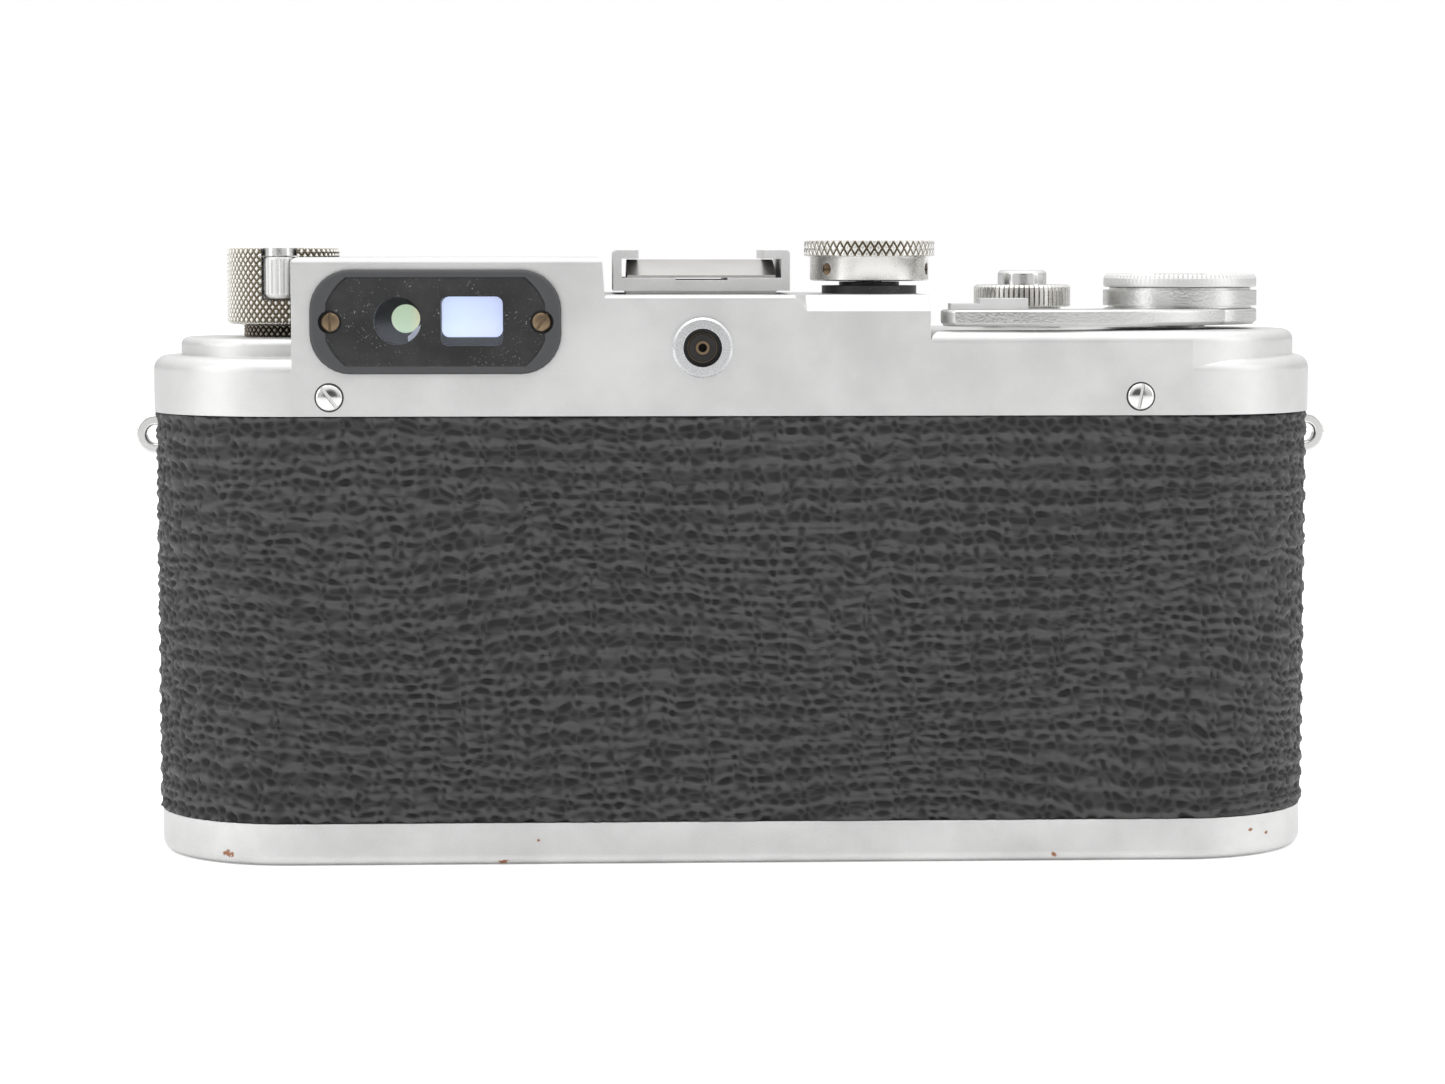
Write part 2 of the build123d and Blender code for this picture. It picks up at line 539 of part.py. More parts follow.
with BuildPart() as shutter_curtains:
    for curtain_y, left in ((6.2, 24.0), (7.4, 20.0)):
        block(up((DRUM_X + left) / 2, curtain_y, 11.0), left - DRUM_X, 0.3, 35.0)
        block(up(left + 0.8, curtain_y, 11.0), 1.6, 0.7, 35.0)
save(shutter_curtains, "shutter_curtains")

with BuildPart() as pressure_plate:
    block(up(LENS_X, FILM_Y + 0.8, LENS_Z - 17), 48.0, 1.0, 34.0)
    block(up(LENS_X, FILM_Y + 1.5, LENS_Z - 14), 44.0, 0.4, 28.0)
save(pressure_plate, "pressure_plate")

with BuildPart() as spring_roller:
    disc(up(ROLLER_X, ROLLER_Y, CRATE_BOTTOM + 0.1), PIVOT_RADIUS, BODY_TOP - CRATE_BOTTOM - 0.2)
    disc(up(ROLLER_X, ROLLER_Y, DRUM_BOTTOM), ROLLER_RADIUS, DRUM_TOP - DRUM_BOTTOM)
save(spring_roller, "spring_roller")

with BuildPart() as shutter_drum:
    disc(up(DRUM_X, 0, CRATE_BOTTOM + 0.1), PIVOT_RADIUS, 5)
    disc(up(DRUM_X, 0, DRUM_BOTTOM), DRUM_RADIUS, DRUM_TOP - DRUM_BOTTOM)
    disc(up(DRUM_X, 0, DRUM_TOP), SPINDLE_RADIUS, 70.9 - DRUM_TOP)
save(shutter_drum, "shutter_drum")

# ---------------------------------------------------------------- winding gears, sprocket and spool

with BuildPart() as lever_gear:
    gear(up(WIND_X, 0, LOWER_GEARS), LEVER_TEETH, 0, GEARS_TOP - LOWER_GEARS, WIND_SHAFT_RADIUS)
save(lever_gear, "lever_gear")

idler_phase = meshed_phase(LEVER_TEETH, 0, 0, IDLER_TEETH)
with BuildPart() as idler_gear:
    gear(up(IDLER_X, 0, UPPER_GEARS), IDLER_TEETH, idler_phase, GEAR_THICKNESS, PIVOT_RADIUS + FIT)
    for place in PolarLocations(6.4, 6):
        hole_x, hole_y = place.position.X, place.position.Y
        disc(up(IDLER_X + hole_x, hole_y, UPPER_GEARS), 2.0, 5, mode=Mode.SUBTRACT)
save(idler_gear, "idler_gear")

with BuildPart() as drum_gear:
    drum_phase = meshed_phase(IDLER_TEETH, idler_phase, 0, DRUM_TEETH)
    gear(up(DRUM_X, 0, UPPER_GEARS), DRUM_TEETH, drum_phase, GEAR_THICKNESS, SPINDLE_RADIUS)
save(drum_gear, "drum_gear")

pinion_phase = meshed_phase(LEVER_TEETH, 0, PINION_ANGLE, PINION_TEETH)
with BuildPart() as sprocket_pinion:
    gear(up(PINION_X, PINION_Y, LOWER_GEARS), PINION_TEETH, pinion_phase, GEAR_THICKNESS, PIVOT_RADIUS + FIT)
save(sprocket_pinion, "sprocket_pinion")

sprocket_phase = meshed_phase(PINION_TEETH, pinion_phase, PINION_TO_SPROCKET_ANGLE, SPROCKET_TEETH)
SPROCKET_RADIUS = 5.6
with BuildPart() as sprocket:
    gear(up(SPROCKET_X, SPROCKET_Y, LOWER_GEARS), SPROCKET_TEETH, sprocket_phase, GEAR_THICKNESS, 0.3)
    disc(up(SPROCKET_X, SPROCKET_Y, 7.0), SPINDLE_RADIUS, LOWER_GEARS - 7.0)
    for rim_z in (LENS_Z - 15.6, LENS_Z + 12.6):
        disc(up(SPROCKET_X, SPROCKET_Y, rim_z), SPROCKET_RADIUS, 3.0)
        for tooth in range(8):
            angle = radians(tooth * 45 + 22.5)
            reach = SPROCKET_RADIUS + 0.1
            tooth_x = SPROCKET_X + reach * cos(angle)
            tooth_y = SPROCKET_Y + reach * sin(angle)
            disc(up(tooth_x, tooth_y, rim_z + 1.0), 0.8, 1.0)
    disc(up(SPROCKET_X, SPROCKET_Y, LENS_Z - 13), 3.6, 26.0)
save(sprocket, "sprocket")

with BuildPart() as take_up_spool:
    disc(up(WIND_X, 0, 8.0), 12.0, 1.2)
    disc(up(WIND_X, 0, 8.0), 7.0, 38.8)
    disc(up(WIND_X, 0, 46.8), 12.0, 1.2)
    disc(up(WIND_X, 0, 48.0), SHAFT_RADIUS, 3.8)
    block(up(WIND_X, 7.0, LENS_Z - 11), 9.0, 3.0, 22.0, mode=Mode.SUBTRACT)
save(take_up_spool, "take_up_spool")

with BuildPart() as chassis_pins:
    disc(up(IDLER_X, 0, BODY_TOP), PIVOT_RADIUS, 4.0)
    disc(up(PINION_X, PINION_Y, BODY_TOP), PIVOT_RADIUS, 1.9)
    disc(up(ARM_PIVOT_X, ARM_PIVOT_Y, 41.0), PIVOT_RADIUS, CHASSIS_BOTTOM - 41.0)
save(chassis_pins, "chassis_pins")

# ---------------------------------------------------------------- wind lever and frame counter

HUB_RADIUS = 9.05
ARM_UNDER = 61.7
ARM_OVER = 63.6
COUNTER_BOTTOM, COUNTER_TOP = 66.05, 67.6
TIP_END, TIP_STEP, TIP_LIP = -23.2, -27.5, -33.0

with BuildPart() as wind_lever:
    disc(up(WIND_X, 0, ARM_UNDER), HUB_RADIUS, ARM_OVER - ARM_UNDER)
    with BuildSketch(up(0, 0, ARM_UNDER)) as arm:
        with BuildLine():
            Spline((WIND_X - 4.0, 8.1), (-44.5, 14.4), (TIP_LIP, 15.9), tangents=((1, 0.9), (1, 0)))
            Line((TIP_LIP, 15.9), (TIP_END - 1.4, 15.6))
            ThreePointArc((TIP_END - 1.4, 15.6), (TIP_END, 13.0), (TIP_END - 1.4, 10.4))
            Line((TIP_END - 1.4, 10.4), (TIP_LIP, 10.0))
            Spline((TIP_LIP, 10.0), (-39.5, 8.6), (WIND_X + 8.6, 2.6), tangents=((-1, 0), (-0.6, -1)))
            Line((WIND_X + 8.6, 2.6), (WIND_X - 4.0, 8.1))
        make_face()
    extrude(arm.sketch, amount=ARM_OVER - ARM_UNDER)
    fillet(wind_lever.faces().sort_by(Axis.Z)[-1].outer_wire().edges(), 0.35)
    chamfer(wind_lever.faces().sort_by(Axis.Z)[0].outer_wire().edges(), 0.4)
    disc(up(WIND_X, 0, ARM_OVER), 8.4, 0.3)
    disc(up(WIND_X, 0, ARM_OVER + 0.3), HUB_RADIUS, 1.8)
    disc(up(WIND_X, 0, ARM_OVER + 2.1), 8.3, 0.3)
    disc(up(WIND_X, 0, ARM_UNDER), WIND_SHAFT_RADIUS, 10, mode=Mode.SUBTRACT)
save(wind_lever, "wind_lever")

with BuildPart() as lever_tip:
    with BuildSketch(up(0, 0, ARM_OVER)) as tip_pad:
        Polygon((TIP_STEP, 10.9), (TIP_END - 1.0, 11.2), (TIP_END - 1.0, 14.8), (TIP_STEP, 15.1), align=None)
    extrude(tip_pad.sketch, amount=0.7)
    with BuildSketch(up(0, 0, ARM_OVER)) as tip_lip:
        Polygon((TIP_LIP, 10.7), (TIP_STEP, 10.9), (TIP_STEP, 15.1), (TIP_LIP, 15.2), align=None)
    extrude(tip_lip.sketch, amount=1.3)
save(lever_tip, "lever_tip")

with BuildPart() as lever_shaft:
    disc(up(WIND_X, 0, LOWER_GEARS), WIND_SHAFT_RADIUS, COUNTER_TOP - LOWER_GEARS)
    block(up(WIND_X, 0, COUNTER_TOP - 0.5), 6.2, 0.8, 1, mode=Mode.SUBTRACT)
save(lever_shaft, "lever_shaft")

with BuildPart() as counter_disc:
    disc(up(WIND_X, 0, COUNTER_BOTTOM), HUB_RADIUS - 0.05, COUNTER_TOP - COUNTER_BOTTOM)
    chamfer(counter_disc.faces().sort_by(Axis.Z)[-1].edges(), 0.3)
    disc(up(WIND_X, 0, COUNTER_BOTTOM), WIND_SHAFT_RADIUS + FIT, 5, mode=Mode.SUBTRACT)
save(counter_disc, "counter_disc")

# ---------------------------------------------------------------- release button and its collar

BOSS_TOP = 63.6
NECK_RADIUS = 3.9
BUTTON_RADIUS = 2.9
BUTTON_BOTTOM, BUTTON_TOP = 63.5, 68.0
STEM_RADIUS = 1.2
STEM_BOTTOM = 57.6
SPRING_SEAT = 60.8

with BuildPart() as release_boss:
    disc(up(RELEASE_X, RELEASE_Y, DECK_TOP - COVER_WALL), BOSS_SPIGOT_RADIUS, COVER_WALL)
    disc(up(RELEASE_X, RELEASE_Y, DECK_TOP), 4.6, BOSS_TOP - DECK_TOP)
    disc(up(RELEASE_X, RELEASE_Y, BOSS_TOP), NECK_RADIUS, 2.6)
    disc(up(RELEASE_X, RELEASE_Y, SPRING_SEAT), BUTTON_RADIUS + FIT, 10, mode=Mode.SUBTRACT)
    disc(up(RELEASE_X, RELEASE_Y, DECK_TOP - COVER_WALL), STEM_RADIUS + FIT, 5, mode=Mode.SUBTRACT)
save(release_boss, "release_boss")

with BuildPart() as selector_collar:
    disc(up(RELEASE_X, RELEASE_Y, BOSS_TOP + 0.05), 5.75, 2.65)
    chamfer(selector_collar.faces().sort_by(Axis.Z)[-1].edges(), 0.25)
    disc(up(RELEASE_X, RELEASE_Y, BOSS_TOP), NECK_RADIUS + FIT, 5, mode=Mode.SUBTRACT)
save(selector_collar, "selector_collar")

with BuildPart() as release_button:
    disc(up(RELEASE_X, RELEASE_Y, BUTTON_BOTTOM), BUTTON_RADIUS, BUTTON_TOP - BUTTON_BOTTOM)
    fillet(release_button.faces().sort_by(Axis.Z)[-1].edges(), 0.5)
    disc(up(RELEASE_X, RELEASE_Y, STEM_BOTTOM), STEM_RADIUS, BUTTON_BOTTOM - STEM_BOTTOM)
    disc(up(RELEASE_X, RELEASE_Y, BUTTON_TOP - 2.5), 1.3, 3, mode=Mode.SUBTRACT)
save(release_button, "release_button")

spring_path = Helix(pitch=0.86, height=2.2, radius=2.1, center=(RELEASE_X, RELEASE_Y, SPRING_SEAT + 0.25))
with BuildPart() as release_spring:
    with BuildSketch(Plane(origin=spring_path @ 0, z_dir=spring_path % 0)) as wire:
        Circle(0.2)
    sweep(wire.sketch, path=spring_path)
save(release_spring, "release_spring")

# ---------------------------------------------------------------- speed dial

DIAL_COLLAR_RADIUS, DIAL_BAND_RADIUS = 7.0, 7.7
DIAL_BOTTOM, DIAL_BAND_BOTTOM, DIAL_TOP = 66.8, 69.7, 71.5
SET_SCREW_ANGLES = (40, 160, 280)

with BuildPart() as speed_dial_base:
    disc(up(DRUM_X, 0, PLATFORM_TOP), 5.6, 0.95)
    disc(up(DRUM_X, 0, PLATFORM_TOP + 0.95), 3.55, 0.45)
    disc(up(DRUM_X, 0, PLATFORM_TOP), SPINDLE_RADIUS + FIT, 5, mode=Mode.SUBTRACT)
save(speed_dial_base, "speed_dial_base")


def radial(angle, radius, z):
    """Plane on the speed dial's side that faces straight out."""
    outward = (cos(radians(angle)), sin(radians(angle)), 0)
    return Plane(origin=(DRUM_X + radius * outward[0], radius * outward[1], z), z_dir=outward)


with BuildPart() as speed_dial:
    disc(up(DRUM_X, 0, DIAL_BOTTOM), DIAL_COLLAR_RADIUS, DIAL_BAND_BOTTOM - DIAL_BOTTOM)
    disc(up(DRUM_X, 0, DIAL_BAND_BOTTOM), DIAL_BAND_RADIUS, DIAL_TOP - DIAL_BAND_BOTTOM)
    chamfer(speed_dial.faces().sort_by(Axis.Z)[-1].edges(), 0.25)
    disc(up(DRUM_X, 0, DIAL_BOTTOM), SPINDLE_RADIUS + FIT, 71.0 - DIAL_BOTTOM, mode=Mode.SUBTRACT)
    for angle in SET_SCREW_ANGLES:
        disc(radial(angle, 8, 68.2), 0.7, -3.5, mode=Mode.SUBTRACT)
save(speed_dial, "speed_dial")

with BuildPart() as dial_set_screws:
    for angle in SET_SCREW_ANGLES:
        disc(radial(angle, 6.6, 68.2), 0.7, -2.1)
        block(radial(angle, 6.6, 68.2), 1.6, 0.25, -0.3, mode=Mode.SUBTRACT)
save(dial_set_screws, "dial_set_screws")

# ---------------------------------------------------------------- rewind knob and crank

KNOB_RADIUS = 6.55
KNOB_BOTTOM, KNOB_TOP = 61.75, 70.6
NOTCH_BOTTOM = 64.6
NOTCH_WIDTH = 4.15
HANDLE_Y, HANDLE_RADIUS = 5.0, 1.9
HANDLE_BOTTOM, HANDLE_TOP = 64.7, 69.7
CRANK_BOTTOM, CRANK_TOP = 69.75, 70.65
CRANK_PIVOT_Y = -5.0
CRANK_WIDTH = 3.8
SPOOL_FORK_BOTTOM = 45.6

with BuildPart() as rewind_sleeve:
    disc(up(REWIND_X, 0, PAD_TOP), 4.6, KNOB_BOTTOM - PAD_TOP - 0.05)
    disc(up(REWIND_X, 0, PAD_TOP), SHAFT_RADIUS + FIT, 5, mode=Mode.SUBTRACT)
save(rewind_sleeve, "rewind_sleeve")

with BuildPart() as rewind_knob:
    disc(up(REWIND_X, 0, KNOB_BOTTOM), KNOB_RADIUS, KNOB_TOP - KNOB_BOTTOM)
    chamfer(rewind_knob.faces().sort_by(Axis.Z)[-1].edges(), 0.3)
    chamfer(rewind_knob.faces().sort_by(Axis.Z)[0].edges(), 0.3)
    notch_start = HANDLE_Y - HANDLE_RADIUS - 0.2
    block(
        up(REWIND_X, notch_start + 5, NOTCH_BOTTOM), NOTCH_WIDTH, 10, 10, mode=Mode.SUBTRACT
    )
    block(up(REWIND_X, 0, CRANK_BOTTOM - 0.15), NOTCH_WIDTH, 20, 10, mode=Mode.SUBTRACT)
    disc(up(REWIND_X, 0, KNOB_BOTTOM), SHAFT_RADIUS, 2.6, mode=Mode.SUBTRACT)
    hinge_place = Plane(
        origin=(REWIND_X, CRANK_PIVOT_Y, (CRANK_BOTTOM + CRANK_TOP) / 2), x_dir=(0, 1, 0), z_dir=(1, 0, 0)
    )
    disc(hinge_place.offset(-3.4), 0.25 + FIT, 6.8, mode=Mode.SUBTRACT)
save(rewind_knob, "rewind_knob")

with BuildPart() as rewind_shaft:
    disc(up(REWIND_X, 0, SPOOL_FORK_BOTTOM), 3.0, 3.4)
    block(up(REWIND_X, 0, SPOOL_FORK_BOTTOM), 1.8, 8, 1.8, mode=Mode.SUBTRACT)
    disc(up(REWIND_X, 0, SPOOL_FORK_BOTTOM + 3.4), SHAFT_RADIUS, KNOB_BOTTOM + 2.6 - SPOOL_FORK_BOTTOM - 3.4)
save(rewind_shaft, "rewind_shaft")

with BuildPart() as rewind_crank:
    with BuildSketch(up(REWIND_X, 0, CRANK_BOTTOM)) as crank_outline:
        with Locations((0, (CRANK_PIVOT_Y + HANDLE_Y) / 2)):
            Rectangle(CRANK_WIDTH, HANDLE_Y - CRANK_PIVOT_Y)
        with Locations((0, HANDLE_Y)):
            Circle(CRANK_WIDTH / 2)
    extrude(crank_outline.sketch, amount=CRANK_TOP - CRANK_BOTTOM)
    disc(hinge_place.offset(-CRANK_WIDTH / 2), (CRANK_TOP - CRANK_BOTTOM) / 2, CRANK_WIDTH)
    disc(up(REWIND_X, HANDLE_Y, HANDLE_BOTTOM + 0.2), 0.9, CRANK_BOTTOM - HANDLE_BOTTOM)
    disc(hinge_place.offset(-3.3), 0.25, 6.6)
save(rewind_crank, "rewind_crank")

with BuildPart() as crank_handle:
    disc(up(REWIND_X, HANDLE_Y, HANDLE_BOTTOM), HANDLE_RADIUS, HANDLE_TOP - HANDLE_BOTTOM)
    chamfer(crank_handle.faces().sort_by(Axis.Z)[0].edges(), 0.4)
    disc(up(REWIND_X, HANDLE_Y, HANDLE_BOTTOM), 0.9 + FIT, 10, mode=Mode.SUBTRACT)
save(crank_handle, "crank_handle")

# ---------------------------------------------------------------- lens mount and lens

LENS_THREAD_RADIUS = 19.45
BASE_BORE = 17.0
BASE_NECK = 18.5
BASE_REAR = -14.5
BASE_FLANGE_END = -19.5
BASE_NECK_END = -27.4
FOCUS_RADIUS = 24.3
BARREL_RADIUS = 20.8
BARREL_STEP, BARREL_END = -27.9, -40.0
FILTER_RADIUS, FILTER_DEPTH = 19.5, 2.8
APERTURE_START, APERTURE_LENGTH, APERTURE_RADIUS = -30.5, 5.0, 22.4
FRONT_GLASS, REAR_GLASS = 14.0, 10.0
GLASS_APEX, DOME_RADIUS = -36.1, 35.0
MOUNT_SCREW_ANGLES = (45, 135, 225, 315)


def lens_place(y):
    """Plane across the lens axis that faces forwards."""
    return front(LENS_X, y, LENS_Z)


def mount_screw_place(angle):
    """Seat of one mount screw in the ring's face."""
    return front(LENS_X + 21.1 * cos(radians(angle)), FLANGE_Y + 0.5, LENS_Z + 21.1 * sin(radians(angle)))


with BuildPart() as lens_mount_ring:
    disc(lens_place(LEATHER - DEPTH / 2), MOUNT_RING_RADIUS, LEATHER - DEPTH / 2 - FLANGE_Y)
    chamfer(lens_mount_ring.faces().sort_by(Axis.Y)[0].edges(), 0.3)
    disc(lens_place(-13.6), MOUNT_SPIGOT_RADIUS, 2.4)
    disc(lens_place(-10), LENS_THREAD_RADIUS, 10, mode=Mode.SUBTRACT)
    for angle in MOUNT_SCREW_ANGLES:
        disc(mount_screw_place(angle), 1.0, 2, mode=Mode.SUBTRACT)
save(lens_mount_ring, "lens_mount_ring")

with BuildPart() as lens_mount_screws:
    for angle in MOUNT_SCREW_ANGLES:
        disc(mount_screw_place(angle), 1.0, 0.5)
        slot = spun(mount_screw_place(angle).offset(0.5), 3 * angle)
        block(slot, 2, 0.3, -0.25, mode=Mode.SUBTRACT)
save(lens_mount_screws, "lens_mount_screws")

with BuildPart() as lens_base:
    disc(lens_place(BASE_REAR), LENS_THREAD_RADIUS, BASE_REAR - FLANGE_Y)
    disc(lens_place(FLANGE_Y), 21.9, FLANGE_Y - BASE_FLANGE_END)
    disc(lens_place(BASE_FLANGE_END), BASE_NECK, BASE_FLANGE_END - BASE_NECK_END)
    disc(lens_place(BASE_REAR), BASE_BORE, BASE_REAR - BASE_NECK_END, mode=Mode.SUBTRACT)
save(lens_base, "lens_base")

with BuildPart() as focus_ring:
    disc(lens_place(BASE_FLANGE_END - 0.1), FOCUS_RADIUS, 7.7)
    chamfer(focus_ring.edges().filter_by(GeomType.CIRCLE), 0.4)
    disc(lens_place(BASE_FLANGE_END), BASE_NECK + FIT, 10, mode=Mode.SUBTRACT)
    for scallop in range(12):
        angle = radians(30 * scallop)
        reach = FOCUS_RADIUS + 2.6
        place = front(LENS_X + reach * cos(angle), BASE_FLANGE_END - 1.6, LENS_Z + reach * sin(angle))
        disc(place, 3.4, 4.6, mode=Mode.SUBTRACT)
save(focus_ring, "focus_ring")


def around_lens(points, mode=Mode.ADD):
    """Turn a closed outline of (radius, y) points about the lens axis."""
    with BuildSketch(Plane.XY.offset(LENS_Z)) as outline:
        with BuildLine():
            Polyline(*[(LENS_X + radius, y) for radius, y in points], close=True)
        make_face()
    revolve(outline.sketch, axis=Axis((LENS_X, 0, LENS_Z), (0, 1, 0)), mode=mode)


with BuildPart() as lens_barrel:
    around_lens((
        (REAR_GLASS, -15.5), (BASE_BORE - FIT, -15.5), (BASE_BORE - FIT, BARREL_STEP),
        (BARREL_RADIUS, BARREL_STEP), (BARREL_RADIUS, BARREL_END + 0.3), (BARREL_RADIUS - 0.3, BARREL_END),
        (FILTER_RADIUS, BARREL_END), (FILTER_RADIUS, BARREL_END + FILTER_DEPTH),
        (18.4, BARREL_END + FILTER_DEPTH), (FRONT_GLASS, -34.2), (FRONT_GLASS, -30.0),
        (12.5, -30.0), (12.5, -20.5), (REAR_GLASS, -20.5),
    ))
save(lens_barrel, "lens_barrel")

with BuildPart() as dome:
    with Locations((LENS_X, GLASS_APEX + DOME_RADIUS, LENS_Z)):
        Sphere(DOME_RADIUS)

with BuildPart() as front_element:
    disc(lens_place(-30.6), FRONT_GLASS, 5.5)
    add(dome.part, mode=Mode.INTERSECT)
save(front_element, "front_element")

with BuildPart() as rear_element:
    disc(lens_place(-15.9), REAR_GLASS, 4.0)
    fillet(rear_element.faces().sort_by(Axis.Y)[-1].edges(), 1.0)
save(rear_element, "rear_element")

with BuildPart() as iris_blades:
    disc(lens_place(-25.0), 12.4, 0.3)
    with BuildSketch(lens_place(-25.0)) as iris_hole:
        RegularPolygon(5.4, 10)
    extrude(iris_hole.sketch, amount=1, mode=Mode.SUBTRACT)
    for blade in range(5):
        cut = spun(lens_place(-25.0), 36 * blade + 18)
        block(cut, 30, 0.06, 1, mode=Mode.SUBTRACT)
save(iris_blades, "iris_blades")

with BuildPart() as aperture_ring:
    disc(lens_place(APERTURE_START), APERTURE_RADIUS, APERTURE_LENGTH)
    chamfer(aperture_ring.edges().filter_by(GeomType.CIRCLE), 0.3)
    disc(lens_place(APERTURE_START), BARREL_RADIUS + FIT, APERTURE_LENGTH, mode=Mode.SUBTRACT)
save(aperture_ring, "aperture_ring")

with BuildPart() as rangefinder_arm:
    disc(up(ARM_PIVOT_X, ARM_PIVOT_Y, ARM_BOTTOM), 2.4, ARM_THICKNESS)
    block(up((ARM_PIVOT_X + LENS_X) / 2, ARM_PIVOT_Y, ARM_BOTTOM), ARM_PIVOT_X - LENS_X, 2.0, ARM_THICKNESS)
    block(up(LENS_X, ARM_PIVOT_Y - 1.8, ARM_BOTTOM), 2.0, 5.0, ARM_THICKNESS)
    disc(up(LENS_X, ARM_PIVOT_Y - 4.5, ARM_BOTTOM), 1.0, ARM_THICKNESS)
    disc(up(ARM_PIVOT_X, ARM_PIVOT_Y, ARM_BOTTOM), PIVOT_RADIUS + FIT, ARM_THICKNESS, mode=Mode.SUBTRACT)
save(rangefinder_arm, "rangefinder_arm")

# ---------------------------------------------------------------- slow speed dial on the front

SLOW_FACE = LEATHER - DEPTH / 2

with BuildPart() as slow_speed_dial:
    disc(front(SLOW_X, SLOW_FACE - 0.1, SLOW_Z), 6.9, 1.2)
    disc(front(SLOW_X, SLOW_FACE - 1.3, SLOW_Z), 6.0, 2.6)
    chamfer(slow_speed_dial.faces().sort_by(Axis.Y)[0].edges(), 0.3)
    disc(front(SLOW_X, SLOW_FACE + 3.0, SLOW_Z), SLOW_SPINDLE_RADIUS, 3.2)
save(slow_speed_dial, "slow_speed_dial")
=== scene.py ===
import json
import math

import bmesh
import bpy
import numpy as np
from mathutils import Matrix, Vector

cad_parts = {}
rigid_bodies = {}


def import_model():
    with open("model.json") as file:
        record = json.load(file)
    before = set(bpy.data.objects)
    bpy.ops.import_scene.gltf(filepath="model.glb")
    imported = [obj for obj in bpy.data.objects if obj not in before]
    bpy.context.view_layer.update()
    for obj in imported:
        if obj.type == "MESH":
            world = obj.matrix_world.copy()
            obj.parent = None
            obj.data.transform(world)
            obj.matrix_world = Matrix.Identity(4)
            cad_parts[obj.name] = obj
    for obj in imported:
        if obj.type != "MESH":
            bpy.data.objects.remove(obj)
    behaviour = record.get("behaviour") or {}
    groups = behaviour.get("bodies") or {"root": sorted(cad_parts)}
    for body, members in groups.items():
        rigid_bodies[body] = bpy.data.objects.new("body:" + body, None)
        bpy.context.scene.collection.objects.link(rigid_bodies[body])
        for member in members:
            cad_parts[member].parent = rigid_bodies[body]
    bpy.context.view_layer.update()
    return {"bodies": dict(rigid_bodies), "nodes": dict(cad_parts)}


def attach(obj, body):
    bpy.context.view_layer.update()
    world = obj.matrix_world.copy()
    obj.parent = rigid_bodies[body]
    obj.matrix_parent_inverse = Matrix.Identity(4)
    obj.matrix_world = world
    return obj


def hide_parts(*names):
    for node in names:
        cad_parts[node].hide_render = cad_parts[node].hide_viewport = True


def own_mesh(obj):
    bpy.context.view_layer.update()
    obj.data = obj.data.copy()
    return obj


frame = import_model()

# Sizes and places are in mm in the CAD's frame, and MM turns them into metres.
MM = 0.001
TURN = 2 * math.pi
NODES = frame["nodes"]
SEED = 35
CREASE = math.radians(35)
RIDGE_HEIGHT = 0.60  # from the leather's pits to its crests, for its mesh and its material


# ---------- materials

CHIP_REACH = 3.0
GROOVE_DEEP, GROOVE_SHALLOW = -0.20, -0.05


def math_node(tree, operation, *values):
    """Output of a math node. Each value is a number or an output."""
    node = tree.nodes.new("ShaderNodeMath")
    node.operation = operation
    for slot, value in zip(node.inputs, values):
        if isinstance(value, (int, float)):
            slot.default_value = value
        else:
            tree.links.new(value, slot)
    return node.outputs[0]


def vector_node(tree, operation, vector, constant=(0, 0, 0)):
    """Vector math node on an output and a constant."""
    node = tree.nodes.new("ShaderNodeVectorMath")
    node.operation = operation
    node.inputs[1].default_value = constant
    tree.links.new(vector, node.inputs[0])
    return node


def smooth_range(tree, value, low, high, new_low=0.0, new_high=1.0):
    """Output that passes smoothly from new_low to new_high as the value goes from low to high."""
    node = tree.nodes.new("ShaderNodeMapRange")
    node.interpolation_type = "SMOOTHSTEP"
    for slot, number in zip(node.inputs[1:5], (low, high, new_low, new_high)):
        slot.default_value = number
    tree.links.new(value, node.inputs[0])
    return node.outputs[0]


